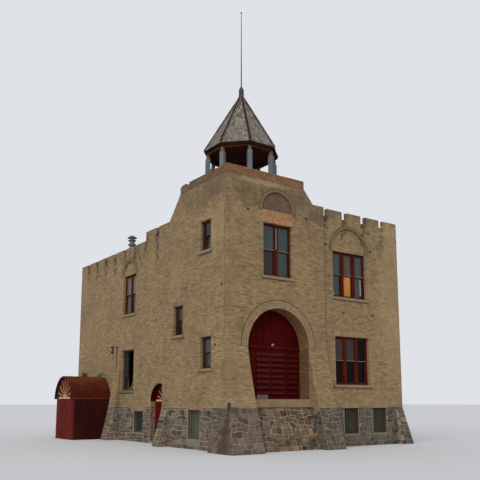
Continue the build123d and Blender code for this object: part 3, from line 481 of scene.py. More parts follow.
dress(["tower_left_foot", "tower_right_foot", "front_base"], mortar_finish("worn_mortar", "#86775f"))

# Brick walls. The real ones are hard buff brick, 215 by 57 mm on a 10 mm joint, laid in even
# courses, and worn darker and browner above the roof line, with soot run down below each slot.
brick_length, brick_course, brick_joint = 0.215, 0.067, 0.010
buff_tones = ["#735b3b", "#836b49", "#917853", "#896f4c", "#997f59", "#7b623f", "#937a57", "#846843", "#9d845e"]


def brickwork(name, tones, mortar, soot_levels, soot_amount, slot_pitch=0.0, slot_place=0.0, slot_top=0.0,
              patches=(), reveal=None):
    """Face brickwork in courses, with soot near the top and below each slot, and painted shade on the reveal inside the
    great arch.
    """
    material, tree, shader, place = new_finish(name, 0.88)
    split = add(tree, "ShaderNodeSeparateXYZ", {}, {0: place})
    along = add(tree, "ShaderNodeMath", {"operation": "ADD"}, {0: split.outputs[0], 1: split.outputs[1]}).outputs[0]
    face = add(tree, "ShaderNodeCombineXYZ", {}, {0: along, 1: split.outputs[2]})
    bond = add(tree, "ShaderNodeTexBrick", {"offset": 0.5}, {
        "Vector": face.outputs[0], "Color1": (0, 0, 0, 1), "Color2": (1, 1, 1, 1), "Mortar": (0.5, 0.5, 0.5, 1),
        "Scale": 1.0, "Mortar Size": brick_joint / 2, "Mortar Smooth": 0.35, "Bias": 0.0,
        "Brick Width": brick_length, "Row Height": brick_course})
    ramp = add(tree, "ShaderNodeValToRGB", {"stops": tone_stops(tones)}, {"Fac": bond.outputs["Color"]})
    bricks = mottled(tree, ramp.outputs["Color"], place, 14.0, 0.88, 1.1)
    wall = add(tree, "ShaderNodeMix", {"data_type": "RGBA"}, {
        "Factor": bond.outputs["Fac"], 6: bricks, 7: linear(mortar)}).outputs[2]
    wall = mottled(tree, wall, place, 0.55, 0.86, 1.1)
    wall = mottled(tree, wall, place, 3.0, 0.92, 1.07)
    rain = add(tree, "ShaderNodeVectorMath", {"operation": "MULTIPLY"}, {0: place, 1: (2.6, 2.6, 1.1)})
    runs = add(tree, "ShaderNodeTexNoise", {}, {"Vector": rain.outputs[0], "Scale": 1.0, "Detail": 5.0})
    height = add(tree, "ShaderNodeMapRange", {}, {
        "Value": split.outputs[2], "From Min": soot_levels[0], "From Max": soot_levels[1],
        "To Min": 0.0, "To Max": 0.75})
    uneven = add(tree, "ShaderNodeMapRange", {"clamp": False}, {
        "Value": runs.outputs["Fac"], "From Min": 0.3, "From Max": 0.7, "To Min": 0.1, "To Max": 0.9})
    patch = add(tree, "ShaderNodeMath", {"operation": "ADD"}, {0: uneven.outputs[0], 1: height.outputs[0]})
    soot = add(tree, "ShaderNodeMapRange", {}, {
        "Value": patch.outputs[0], "From Min": 0.62, "From Max": 1.15, "To Min": 0.0, "To Max": soot_amount})
    dark = soot.outputs[0]
    if slot_pitch:
        shifted = add(tree, "ShaderNodeMath", {"operation": "SUBTRACT"}, {0: along, 1: slot_place - slot_pitch / 2})
        turn = add(tree, "ShaderNodeMath", {"operation": "FLOORED_MODULO"}, {0: shifted.outputs[0], 1: slot_pitch})
        off = add(tree, "ShaderNodeMath", {"operation": "SUBTRACT"}, {0: turn.outputs[0], 1: slot_pitch / 2})
        near = add(tree, "ShaderNodeMath", {"operation": "ABSOLUTE"}, {0: off.outputs[0]})
        band = add(tree, "ShaderNodeMapRange", {}, {
            "Value": near.outputs[0], "From Min": 0.08, "From Max": 0.24, "To Min": 1.0, "To Max": 0.0})
        fall = add(tree, "ShaderNodeMapRange", {}, {
            "Value": split.outputs[2], "From Min": slot_top - 1.0, "From Max": slot_top, "To Min": 0.0, "To Max": 1.7})
        run = add(tree, "ShaderNodeMath", {"operation": "MULTIPLY"}, {0: band.outputs[0], 1: fall.outputs[0]})
        blotch = add(tree, "ShaderNodeTexNoise", {}, {"Vector": place, "Scale": 4.5, "Detail": 5.0})
        blot = add(tree, "ShaderNodeMapRange", {}, {
            "Value": blotch.outputs["Fac"], "From Min": 0.45, "From Max": 0.6, "To Min": 0.0, "To Max": 1.0})
        run = add(tree, "ShaderNodeMath", {"operation": "MULTIPLY"}, {0: run.outputs[0], 1: blot.outputs[0]})
        dark = add(tree, "ShaderNodeMath", {"operation": "ADD", "use_clamp": True}, {
            0: dark, 1: run.outputs[0]}).outputs[0]
    wall = add(tree, "ShaderNodeMix", {"data_type": "RGBA"}, {
        "Factor": dark, 6: wall, 7: linear("#4c3c2b")}).outputs[2]
    for centre, reach, amount, tone in patches:
        wall = blotched(tree, wall, place, centre, reach, amount, tone)
    # Painted shade: the reveal inside the great arch is darkened, most below the spring and less up in the head.
    if reveal:
        inside = add(tree, "ShaderNodeMath", {"operation": "GREATER_THAN"}, {0: split.outputs[1], 1: reveal[0]})
        off_side = add(tree, "ShaderNodeMath", {"operation": "GREATER_THAN"}, {0: split.outputs[0], 1: reveal[1]})
        below = add(tree, "ShaderNodeMapRange", {}, {
            "Value": split.outputs[2], "From Min": 3.6, "From Max": 4.7, "To Min": 1.0, "To Max": 0.0})
        reveal_shade_mask = add(tree, "ShaderNodeMath", {"operation": "MULTIPLY"}, {0: inside.outputs[0], 1: off_side.outputs[0]})
        shade = add(tree, "ShaderNodeMix", {"data_type": "RGBA"}, {
            "Factor": below.outputs[0], 6: (0.95, 0.78, 0.54, 1), 7: (0.52, 0.45, 0.31, 1)})
        wall = add(tree, "ShaderNodeMix", {"data_type": "RGBA", "blend_type": "MULTIPLY"}, {
            "Factor": reveal_shade_mask.outputs[0], 6: wall, 7: shade.outputs[2]}).outputs[2]
    tree.links.new(wall, shader.inputs["Base Color"])
    pits = add(tree, "ShaderNodeTexNoise", {}, {"Vector": place, "Scale": 70.0, "Detail": 4.0})
    relief = add(tree, "ShaderNodeMath", {"operation": "SUBTRACT"}, {0: pits.outputs["Fac"], 1: bond.outputs["Fac"]})
    bumped(tree, shader, relief.outputs[0], 0.006)
    return material


tower_brick = brickwork("tower_buff_brick", buff_tones, "#5b4b35", (8.8, 10.4), 0.5, patches=[
    ((4.45, 0, 9.2), (0.85, 2, 0.42), 0.55, "#43362a"), ((0.95, 0, 9.5), (0.75, 1, 0.6), 0.5, "#4f3f2b"),
    ((3.3, 0, 9.75), (0.6, 1, 0.35), 0.4, "#5a4631"), ((1.7, 0, 10.12), (1.3, 0.6, 0.14), 0.5, "#a8906c"),
    ((0, 1.7, 9.7), (0.6, 1.7, 0.5), 0.45, "#54442f"), ((0, 0.9, 8.2), (0.6, 1.0, 0.7), 0.3, "#a08a62")])
# The pier brick carries painted shade on the great arch's reveal.
pier_brick = brickwork("pier_buff_brick", buff_tones, "#5b4b35", (20.0, 22.0), 0.5, reveal=(
    tower_corner.y + 0.03, tower_corner.x + 0.3))
front_brick = brickwork(
    "front_buff_brick", buff_tones, "#5b4b35", (8.8, 10.4), 0.5, 1.125,
    tower_corner.x + 4.935 + tower_corner.y + 0.1, 9.15, patches=[
        ((9.0, 0.1, 6.0), (1.2, 3, 4.5), 0.3, "#a58f68"), ((8.7, 0.1, 9.3), (0.7, 1, 0.4), 0.4, "#a58f68")])
side_brick = brickwork(
    "side_buff_brick", buff_tones, "#5b4b35", (8.3, 9.8), 0.4, 1.1,
    tower_corner.x + 0.5 + tower_corner.y + 7.4, 8.75)
dress(["tower_upper_front", "tower_side_wall", "tower_shoulders"], tower_brick)
dress(["tower_left_pier", "tower_right_pier", "tower_arch_wall"], pier_brick)
dress(["front_wall"], front_brick)
dress(["side_door_arch", "side_wall_front", "side_wall_rear", "right_wall", "rear_wall"], side_brick)

# Arches, bands and cap in cut or laid brick. The real arch rings are rowlock brick on edge, the
# bands over the openings are orange brick on end, and the tower's cap is newer red brick, laid
# rough and already shedding its top course at the rear.
orange_tones = ["#8a5e3c", "#a06c45", "#9a7450", "#a87a52", "#8f6240"]
red_tones = ["#70472c", "#80502f", "#6e5638", "#8e5a34", "#7a5c3c"]
label_tones = ["#4a3d2c", "#56472f", "#655438"]
ring_tones = ["#7d6746", "#8f7755", "#857050", "#967f5b"]
salmon_tones = ["#7e5f49", "#8a6c54", "#92745a", "#785a44"]
weathered_tones = ["#5c4836", "#6e5842", "#76523a", "#584636", "#7d654b"]


def laid_brick(name, tones):
    """Loose-laid brick, a tone to each, with a sandy face."""
    material, tree, shader, place = new_finish(name, 0.88)
    tone = add(tree, "ShaderNodeAttribute", {"attribute_name": "shade"})
    ramp = add(tree, "ShaderNodeValToRGB", {"stops": tone_stops(tones)}, {"Fac": tone.outputs["Fac"]})
    base = mottled(tree, ramp.outputs["Color"], place, 16.0, 0.8, 1.15)
    base = mottled(tree, base, place, 2.0, 0.85, 1.1)
    tree.links.new(base, shader.inputs["Base Color"])
    pits = add(tree, "ShaderNodeTexNoise", {}, {"Vector": place, "Scale": 70.0, "Detail": 4.0})
    bumped(tree, shader, pits.outputs["Fac"], 0.005)
    return material


def brick_tree():
    """Sets one brick on each point, turned by the point's own angles."""
    tree, given, result = new_tree("set_bricks", [
        ("Brick", "Vector"), ("Wobble", "Float"), ("Seed", "Int"), ("Material", "Material")])
    brick = add(tree, "GeometryNodeMeshCube", {}, {"Size": given.outputs["Brick"]})
    spin = add(tree, "GeometryNodeInputNamedAttribute", {"data_type": "FLOAT"}, {"Name": "spin"})
    face = add(tree, "GeometryNodeInputNamedAttribute", {"data_type": "FLOAT"}, {"Name": "face"})
    turn = add(tree, "ShaderNodeCombineXYZ", {}, {1: spin.outputs[0], 2: face.outputs[0]})
    turned = add(tree, "FunctionNodeEulerToRotation", {}, {0: turn.outputs[0]})
    low = add(tree, "ShaderNodeMath", {"operation": "SUBTRACT"}, {0: 1.0, 1: given.outputs["Wobble"]})
    size = add(tree, "FunctionNodeRandomValue", {"data_type": "FLOAT"}, {
        2: low.outputs[0], 3: 1.0, "Seed": given.outputs["Seed"]})
    laid = add(tree, "GeometryNodeInstanceOnPoints", {}, {
        "Points": given.outputs["Geometry"], "Instance": brick.outputs[0],
        "Rotation": turned.outputs[0], "Scale": size.outputs[1]})
    shade = add(tree, "FunctionNodeRandomValue", {"data_type": "FLOAT"}, {"Seed": 11})
    stored = add(tree, "GeometryNodeStoreNamedAttribute", {"data_type": "FLOAT", "domain": "INSTANCE"}, {
        "Geometry": laid.outputs[0], "Name": "shade", "Value": shade.outputs[1]})
    real = add(tree, "GeometryNodeRealizeInstances", {}, {"Geometry": stored.outputs[0]})
    painted = add(tree, "GeometryNodeSetMaterial", {}, {
        "Geometry": real.outputs[0], "Material": given.outputs["Material"]})
    tree.links.new(painted.outputs[0], result.inputs[0])
    return tree


set_bricks = brick_tree()


def brick_piece(name, places, brick, material, wobble=0.03):
    """Bricks set on places, each (point from the tower's corner, spin, face)."""
    piece = new_piece(name, [tower_corner + Vector(point) for point, spin, face in places], [])
    for label, column in (("spin", 1), ("face", 2)):
        layer = piece.data.attributes.new(label, "FLOAT", "POINT")
        layer.data.foreach_set("value", [place[column] for place in places])
    grow(piece, set_bricks, {"Brick": brick, "Wobble": wobble, "Seed": 5, "Material": material})
    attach(piece, "hall")
    return piece


def arc_places(face, plane, centre, spring, radius, pitch, ends=(0.0, math.pi)):
    """Places round an arch head on a wall that faces the front (0) or the left side (-90 degrees)."""
    count = max(3, round(radius * (ends[1] - ends[0]) / pitch))
    places = []
    for i in range(count):
        angle = ends[0] + (ends[1] - ends[0]) * (i + 0.5) / count
        along = centre + radius * math.cos(angle)
        level = spring + radius * math.sin(angle)
        point = (along, plane, level) if face == 0 else (plane, along, level)
        spin = -angle if face == 0 else -angle
        places.append((point, spin, 0.0 if face == 0 else math.radians(90)))
    return places


header = (0.092, 0.010, 0.058)
ring_places = []
for row in range(3):
    ring_places += arc_places(0, -0.011, 2.4, 3.8, 1.475 + 0.05 + 0.1 * row, 0.068)
ring_brick = laid_brick("ring_brick", ring_tones)
brick_piece("great_arch_voussoirs", ring_places, header, ring_brick)
soffit_places = []
for row in range(5):
    soffit_places += arc_places(0, 0.062 + 0.104 * row, 2.4, 3.8, 1.471, 0.068)
brick_piece("great_arch_soffit", soffit_places, (0.010, 0.094, 0.058), laid_brick(
    "soffit_brick", ["#6b4d2b", "#7d5b34", "#8b683e", "#745330", "#947046"]))
hood_places, label_places = [], arc_places(0, -0.014, 2.4, 3.8, 1.79, 0.068)
for face, plane, centre, spring, radius, width in (
        (0, -0.025, 2.36, 9.07, 0.78, 0.15), (0, 0.075, 6.3, 7.98, 1.02, 0.13), (-90, 0.475, 8.98, 7.79, 0.67, 0.13)):
    hood_places += arc_places(face, plane, centre, spring, radius + (width - 0.045) / 2, 0.068)
    label_places += arc_places(face, plane - 0.004, centre, spring, radius + width - 0.022, 0.068)
brick_piece("hood_voussoirs", hood_places, (0.085, 0.010, 0.058), laid_brick(
    "hood_brick", ["#69563c", "#7a6647", "#715d42", "#816c4c"]))
brick_piece("arch_labels", label_places, (0.026, 0.018, 0.060), laid_brick("label_brick", label_tones))
dress(["great_arch_ring", "arch_hoods"], mortar_finish("ring_mortar", "#6f6047"))

soldier = (0.058, 0.010, 0.205)
band_places = {"orange_bands": [], "salmon_bands": [], "buff_bands": []}
for name, centre, width, foot, rows, plane, facing in (
        ("orange_bands", 2.36, 1.52, 8.57, 2, -0.014, 0), ("buff_bands", 6.35, 2.04, 4.41, 1, 0.086, 0),
        ("buff_bands", 8.99, 1.36, 4.18, 1, 0.486, -90), ("salmon_bands", 2.21, 1.06, 1.46, 1, -0.014, -90),
        ("salmon_bands", 7.77, 1.08, 1.36, 1, 0.486, -90), ("salmon_bands", 1.42, 0.96, 4.18, 1, -0.014, -90),
        ("salmon_bands", 3.49, 0.96, 5.58, 1, -0.014, -90), ("buff_bands", 6.2, 1.02, 1.52, 1, 0.086, 0),
        ("buff_bands", 7.85, 1.02, 1.52, 1, 0.086, 0)):
    count = int(width / 0.068)
    for row in range(rows):
        for i in range(count):
            along = centre + (i + 0.5 - count / 2) * width / count
            level = foot + 0.12 + 0.24 * row if rows == 2 or width > 1.2 else foot + 0.1
            point = (along, plane, level) if facing == 0 else (plane, along, level)
            band_places[name].append((point, 0.0, math.radians(90 if facing else 0)))
for name, tones in (("orange_bands", orange_tones), ("salmon_bands", salmon_tones), ("buff_bands", ring_tones)):
    length = 0.195 if name == "salmon_bands" else 0.205
    brick_piece(name, band_places[name], (0.058, 0.010, length), laid_brick(name, tones))
dress(["window_lintels"], mortar_finish("band_mortar", "#8a7258"))

cap_x, cap_y = (-0.015, 3.735), (-0.015, 3.445)
cap_places = {"tower_cap_bricks": [], "tower_cap_weathered": []}
draw = random.Random(12)
for course in range(5):
    level = 10.26 + 0.032 + 0.064 * course
    for face, span, plane, inner in ((0, cap_x, cap_y[0], 1), (0, cap_x, cap_y[1], -1), (90, cap_y, cap_x[0], 1),
                                     (90, cap_y, cap_x[1], -1)):
        count = int((span[1] - span[0]) / 0.225)
        pitch = (span[1] - span[0]) / count
        for row in range(3):
            offset = plane + inner * (0.052 + 0.1 * row)
            for i in range(count):
                along = span[0] + (i + 0.5) * pitch
                gone = 0.05 if course == 4 else 0.0
                if along > 2.7 if face == 90 and inner > 0 else face == 0 and inner < 0 and along < 0.5:
                    gone = (0.0, 0.0, 0.0, 0.15, 0.7)[course]
                if draw.random() < gone:
                    continue
                point = (along, offset, level) if face == 0 else (offset, along, level)
                worn = face == 90 and inner > 0 and draw.random() < 0.45 + 0.5 * along
                cap_places["tower_cap_weathered" if worn else "tower_cap_bricks"].append(
                    (point, draw.uniform(-0.01, 0.01), math.radians(face) + draw.uniform(-0.015, 0.015)))
for name, tones in (("tower_cap_bricks", red_tones), ("tower_cap_weathered", weathered_tones)):
    cap_bricks = brick_piece(
        name, cap_places[name], (0.215, 0.096, 0.056), laid_brick(name, tones), 0.06)
    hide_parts("tower_brick_cap")


def boxes(name, spans):
    """One mesh of boxes, each from its low and high corner off the tower's corner."""
    points, faces = [], []
    for low, high in spans:
        start = len(points)
        points += [tower_corner + Vector((x, y, z)) for x in (low[0], high[0]) for y in (low[1], high[1])
                   for z in (low[2], high[2])]
        faces += [[start + i for i in quad] for quad in (
            (0, 1, 3, 2), (4, 6, 7, 5), (0, 4, 5, 1), (2, 3, 7, 6), (0, 2, 6, 4), (1, 5, 7, 3))]
    return new_piece(name, points, faces)


def plates(name, look, outlines):
    """Flat plates on a wall that faces the front or the left: an outline (along, level), near and far depth."""
    points, faces = [], []
    for outline, near, far in outlines:
        count, start = len(outline), len(points)
        for depth in (near, far):
            for along, level in outline:
                flat = (along, depth) if look == "front" else (depth, along)
                points.append(tower_corner + Vector((*flat, level)))
        faces += [range(start, start + count), range(start + 2 * count - 1, start + count - 1, -1)]
        faces += [(start + i, start + (i + 1) % count, start + count + (i + 1) % count, start + count + i)
                  for i in range(count)]
    return new_piece(name, points, [list(face) for face in faces])


def rect(left, right, foot, head):
    """Outline of a rectangle."""
    return [(left, foot), (right, foot), (right, head), (left, head)]


def arch_outline(centre, spring, inner, outer, steps=24):
    """Outline of a half ring, or of a half disc where the inner radius is nought."""
    turns = [math.pi * i / steps for i in range(steps + 1)]
    arc = [(centre + outer * math.cos(turn), spring + outer * math.sin(turn)) for turn in turns]
    if inner:
        arc += [(centre + inner * math.cos(turn), spring + inner * math.sin(turn)) for turn in reversed(turns)]
    return arc


def disc(along, level, radius, sides=10):
    """Outline of a round plate."""
    turns = [2 * math.pi * i / sides for i in range(sides)]
    return [(along + radius * math.cos(turn), level + radius * math.sin(turn)) for turn in turns]


def finished(piece, material):
    """Turns a piece's faces outward, gives it its finish, and lets it ride on the hall."""
    shell = bmesh.new()
    shell.from_mesh(piece.data)
    bmesh.ops.recalc_face_normals(shell, faces=shell.faces)
    shell.to_mesh(piece.data)
    shell.free()
    piece.data.materials.append(material)
    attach(piece, "hall")
    return piece


cap_bed = boxes("tower_cap_bed", [
    ((0.0, 0.0, 10.26), (3.72, 0.28, 10.46)), ((0.0, 3.15, 10.26), (3.72, 3.43, 10.36)),
    ((0.0, 0.28, 10.26), (0.28, 3.15, 10.42)), ((3.44, 0.28, 10.26), (3.72, 3.15, 10.48))])
finished(cap_bed, mortar_finish("cap_mortar", "#6d5f4c"))
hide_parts("tower_brick_cap")
tympanum = plates("tower_tympanum", "front", [(arch_outline(2.36, 9.075, 0, 0.772), 0.034, 0.0395)])
finished(tympanum, brickwork(
    "tympanum_brick", ["#54402f", "#684c3a", "#5c4638", "#735540", "#4c3a2b"], "#5b4a39", (20.0, 22.0), 0.5))

# Floors, roof deck and thresholds. Boards inside, floated concrete at the ground, and black felt
# on the roof; only the felt and the edges of the floors show, through the openings.


def board_finish(name, tone, width, across, roughness=0.6, wear=0.25, worn_tone="#8a7a66", beyond=None):
    """Painted or bare boards of one width, with a dark joint between them and worn patches; beyond
    is an axis, a level on it and the tone of what lies past it."""
    material, tree, shader, place = new_finish(name, roughness)
    shader.inputs["Specular IOR Level"].default_value = 0.05
    split = add(tree, "ShaderNodeSeparateXYZ", {}, {0: place})
    both = add(tree, "ShaderNodeMath", {"operation": "ADD"}, {0: split.outputs[0], 1: split.outputs[1]}).outputs[0]
    line = both if across == "along" else split.outputs[across]
    turn = add(tree, "ShaderNodeMath", {"operation": "FLOORED_MODULO"}, {0: line, 1: width})
    off = add(tree, "ShaderNodeMath", {"operation": "SUBTRACT"}, {0: turn.outputs[0], 1: width / 2})
    near = add(tree, "ShaderNodeMath", {"operation": "ABSOLUTE"}, {0: off.outputs[0]})
    gap = add(tree, "ShaderNodeMapRange", {}, {
        "Value": near.outputs[0], "From Min": width / 2 - 0.009, "From Max": width / 2 - 0.003,
        "To Min": 0.0, "To Max": 1.0})
    count = add(tree, "ShaderNodeMath", {"operation": "DIVIDE"}, {0: line, 1: width})
    board = add(tree, "ShaderNodeMath", {"operation": "FLOOR"}, {0: count.outputs[0]})
    chance = add(tree, "ShaderNodeTexWhiteNoise", {"noise_dimensions": "1D"}, {"W": board.outputs[0]})
    spread = add(tree, "ShaderNodeMapRange", {}, {"Value": chance.outputs["Value"], "To Min": 0.8, "To Max": 1.18})
    plain = add(tree, "ShaderNodeMix", {"data_type": "RGBA", "blend_type": "MULTIPLY"}, {
        "Factor": 1.0, 6: linear(tone), 7: spread.outputs[0]}).outputs[2]
    if beyond:
        past = add(tree, "ShaderNodeMath", {"operation": "GREATER_THAN"}, {0: split.outputs[beyond[0]], 1: beyond[1]})
        plain = add(tree, "ShaderNodeMix", {"data_type": "RGBA"}, {
            "Factor": past.outputs[0], 6: plain, 7: linear(beyond[2])}).outputs[2]
    base = mottled(tree, plain, place, 1.5, 0.75, 1.2)
    grain_place = add(tree, "ShaderNodeVectorMath", {"operation": "MULTIPLY"}, {0: place, 1: (40.0, 40.0, 3.0)})
    grain = add(tree, "ShaderNodeTexNoise", {}, {"Vector": grain_place.outputs[0], "Scale": 1.0, "Detail": 4.0})
    flake = add(tree, "ShaderNodeTexNoise", {}, {"Vector": place, "Scale": 5.0, "Detail": 8.0, "Roughness": 0.7})
    worn = add(tree, "ShaderNodeMapRange", {}, {
        "Value": flake.outputs["Fac"], "From Min": 0.62, "From Max": 0.7, "To Min": 0.0, "To Max": wear})
    base = add(tree, "ShaderNodeMix", {"data_type": "RGBA"}, {
        "Factor": worn.outputs[0], 6: base, 7: linear(worn_tone)}).outputs[2]
    base = add(tree, "ShaderNodeMix", {"data_type": "RGBA"}, {
        "Factor": gap.outputs[0], 6: base, 7: linear("#0e0a08")}).outputs[2]
    tree.links.new(base, shader.inputs["Base Color"])
    height = add(tree, "ShaderNodeMath", {"operation": "SUBTRACT"}, {0: grain.outputs["Fac"], 1: gap.outputs[0]})
    bumped(tree, shader, height.outputs[0], 0.004)
    return material


dress(["main_floor", "upper_floor", "belfry_deck"], board_finish("floor_boards", "#6b4f38", 0.11, 0, 0.7))
dress(["basement_floor", "door_threshold"], mortar_finish("floated_concrete", "#77726a"))
dress(["roof_deck"], board_finish("roof_felt", "#2b2a29", 0.92, 0, 0.9, 0.35, "#3f3c38"))

# Great arched door. A pair of tall leaves boarded in the arch head, with a rail and raised slats
# below, all in old dark red paint, with painted highlights on the rail and the slats' top edges,
# painted light on the faces of the middle slats and painted shadow under the slats; it stands on a stone sill.
dress(["great_door"], board_finish("great_door_paint", "#440603", 0.14, 0, 0.8, 0.06, "#6b3128"))
# Painted highlights on the rail and the slats' top edges (the first list), painted light on the middle slats' faces,
# and painted shadow under the slats.
faded, lit_slat_faces, shadows = [(rect(0.98, 3.82, 3.836, 3.858), 0.5465, 0.5497)], [], []
seams = [(rect(2.393, 2.407, 1.87, 3.74), 0.5755, 0.5797)]
for column in range(4):
    left = 0.925 + 0.1 + 0.7125 * column
    for row in range(8):
        foot = 1.86 + 0.18 + 0.21 * row
        front = (0.5545, 0.5577) if row < 7 else (0.5755, 0.5797)
        faded.append((rect(left + 0.004, left + 0.6085, foot + 0.04, foot + 0.058), *front))
        if column in (1, 2):
            lit_slat_faces.append((rect(left + 0.004, left + 0.6085, foot + 0.002, foot + 0.037), *front))
            lit_slat_faces.append((rect(left + 0.004, left + 0.6085, foot + 0.063, foot + 0.11), 0.5755, 0.5797))
        if column > 0:
            shadows.append((rect(left + 0.004, left + 0.6085, foot - 0.052, foot - 0.003), 0.5755, 0.5797))
finished(plates("great_door_highlights", "front", faded),
         board_finish("door_highlight_paint", "#5a2620", 0.7125, 0, 0.8, 0.6, "#7c5a4c"))
finished(plates("great_door_lit_slats", "front", lit_slat_faces),
         board_finish("lit_slat_paint", "#541a16", 0.7125, 0, 0.8, 0.3, "#6b3c34"))
finished(plates("great_door_slat_shadows", "front", shadows), board_finish("slat_shadow_paint", "#250504", 0.7125, 0, 0.85, 0.1, "#3a1410"))
finished(plates("great_door_seam", "front", seams), mortar_finish("door_gap", "#120504"))


def dressed_stone(name, tone):
    """Dressed sill stone: tan and close grained, unevenly toned."""
    material, tree, shader, place = new_finish(name, 0.85)
    plain = add(tree, "ShaderNodeRGB")
    plain.outputs[0].default_value = linear(tone)
    base = mottled(tree, plain.outputs[0], place, 4.0, 0.78, 1.15)
    base = mottled(tree, base, place, 50.0, 0.9, 1.08)
    tree.links.new(base, shader.inputs["Base Color"])
    grain = add(tree, "ShaderNodeTexNoise", {}, {"Vector": place, "Scale": 90.0, "Detail": 4.0})
    bumped(tree, shader, grain.outputs["Fac"], 0.003)
    return material


dress(["great_door_sill"], dressed_stone("great_sill_stone", "#80694c"))
dress(["window_sills"], dressed_stone("window_sill_stone", "#7f6b50"))

# Windows. Boxed softwood frames in old red paint, sashes that hang behind each other, and thin
# old glass that mirrors a pale sky; the glass is opaque and its dark tones are painted shade for the
# dark rooms behind, and plates on the panes paint the sky's reflection, pale on some and dim on
# others, and near black where only the dark room shows.
sash_paint = board_finish("sash_paint", "#4b1a10", 5.0, 2, 0.8, 0.3, "#664a3a")
dress(["front_window_frames", "back_window_frames"], sash_paint)
dress(["tower_windows"], board_finish(
    "tower_sash_paint", "#4b1a10", 5.0, 2, 0.8, 0.3, "#664a3a", (1, tower_corner.y + 0.6, "#42251a")))
dress(["side_window_frames"],
      board_finish("side_frame_paint", "#37332a", 5.0, 2, 0.85, 0.3, "#4a4434", (2, 5.0, "#451f14")))
# The glass is opaque: its dark, uneven base is painted shade for the dark rooms behind, under a real sheen.
glass, tree, shader, place = new_finish("old_sheet_glass", 0.12)
shader.inputs["Specular IOR Level"].default_value = 0.3
cloud = add(tree, "ShaderNodeTexNoise", {}, {"Vector": place, "Scale": 1.1, "Detail": 3.0})
shade_and_haze = add(tree, "ShaderNodeValToRGB", {"stops": [(0.35, "#17110f"), (0.55, "#241e1c"), (0.7, "#383634")]}, {
    "Fac": cloud.outputs["Fac"]})
tree.links.new(shade_and_haze.outputs["Color"], shader.inputs["Base Color"])
ripple = add(tree, "ShaderNodeTexNoise", {}, {"Vector": place, "Scale": 6.0, "Detail": 1.0})
bumped(tree, shader, ripple.outputs["Fac"], 0.003)
dress(["window_glass"], glass)
dress(["basement_frames"], board_finish(
    "basement_boards", "#565748", 0.09, "along", 0.8, 0.3, "#6e6a58", (0, tower_corner.x + 3.0, "#3a372c")))
tower_lights, upper_lights, lower_lights = [(1.72, 2.285), (2.435, 3.0)], [(5.4, 5.9), (6.05, 6.55), (6.7, 7.2)], [
    (5.45, 5.95), (6.1, 6.6), (6.75, 7.25)]
# Pane plates: the pale ones paint the sky's reflection, the dim ones a fainter reflection, and the near-black dark ones
# the shade of the dark room behind.
rails, pale_panes, dim_reflection_panes, dark_panes = [], [], [], []
for wall, lights, foot, middle, head in ((0.0, tower_lights, 6.6, 7.535, 8.47), (0.1, upper_lights, 6.14, 7.01, 7.88),
                                         (0.1, lower_lights, 2.55, 3.43, 4.31)):
    for left, right in lights:
        rails.append((rect(left + 0.002, right - 0.002, middle + 0.002, middle + 0.016), wall + 0.1265, wall + 0.1297))
        pane = (rect(left + 0.042, right - 0.042, middle + 0.022, head - 0.002), wall + 0.1455, wall + 0.149)
        (pale_panes if foot > 5 else dark_panes if left > 6.5 else dim_reflection_panes).append(pane)
for kind, wall, (left, right), foot, head in [
        (dim_reflection_panes, 0.0, tower_lights[0], 6.602, 7.51), (pale_panes, 0.0, tower_lights[1], 6.602, 7.51),
        (pale_panes, 0.1, upper_lights[0], 6.142, 6.985), (pale_panes, 0.1, upper_lights[2], 6.142, 6.985)] + [
        (dark_panes, 0.1, light, 2.552, 3.405) for light in lower_lights]:
    kind.append((rect(left + 0.042, right - 0.042, foot, head), wall + 0.190, wall + 0.194))
low_panes = [(rect(1.152, 1.688, 3.607, 4.078), 0.1455, 0.149), (rect(1.152, 1.688, 3.092, 3.563), 0.190, 0.194)]
side_pale_panes = []
for left, right in ((8.432, 8.863), (9.097, 9.528)):
    side_pale_panes += [(rect(left, right, 6.862, 7.688), 0.6455, 0.649), (rect(left, right, 5.992, 6.818), 0.690, 0.694)]
finished(plates("meeting_rail_tops", "front", rails), mortar_finish("chalked_paint", "#8f877d"))
for name, look, panes, tone in (
        ("pale_panes", "front", pale_panes, "#383e40"), ("dim_reflection_panes", "front", dim_reflection_panes, "#2e2422"),
        ("dark_panes", "front", dark_panes, "#0a0807"), ("side_pale_panes", "left", side_pale_panes, "#5e5250"),
        ("low_window_panes", "left", low_panes, "#3d3a38")):
    dull, tree, shader, place = new_finish(name, 0.2)
    shader.inputs["Base Color"].default_value = linear(tone)
    shader.inputs["Specular IOR Level"].default_value = 0.06 if name == "dark_panes" else 0.25
    dust = add(tree, "ShaderNodeTexNoise", {}, {"Vector": place, "Scale": 5.0, "Detail": 4.0})
    bumped(tree, shader, dust.outputs["Fac"], 0.003)
    finished(plates(name, look, panes), dull)
plywood = plates("front_plywood", "front", [(rect(6.092, 6.508, 6.142, 6.985), 0.289, 0.294)])
finished(plywood, board_finish("bare_plywood", "#c08040", 5.0, 2, 0.7, 0.3, "#a8713c"))
strips = plates("torn_strips", "front", [
    (rect(7.075, 7.125, 6.25, 6.93), 0.2855, 0.289), (rect(5.5, 5.56, 6.16, 6.24), 0.2855, 0.289),
    (rect(2.350, 2.370, 7.6, 8.44), 0.1065, 0.1097)])
finished(strips, mortar_finish("torn_white", "#a6a9a9"))
curtain = plates("front_curtain", "front", [(rect(6.092, 6.508, 7.034, 7.876), 0.2405, 0.2445)])
finished(curtain, board_finish("faded_curtain", "#5b4f43", 0.09, 0, 0.9, 0.9, "#5f3a30"))


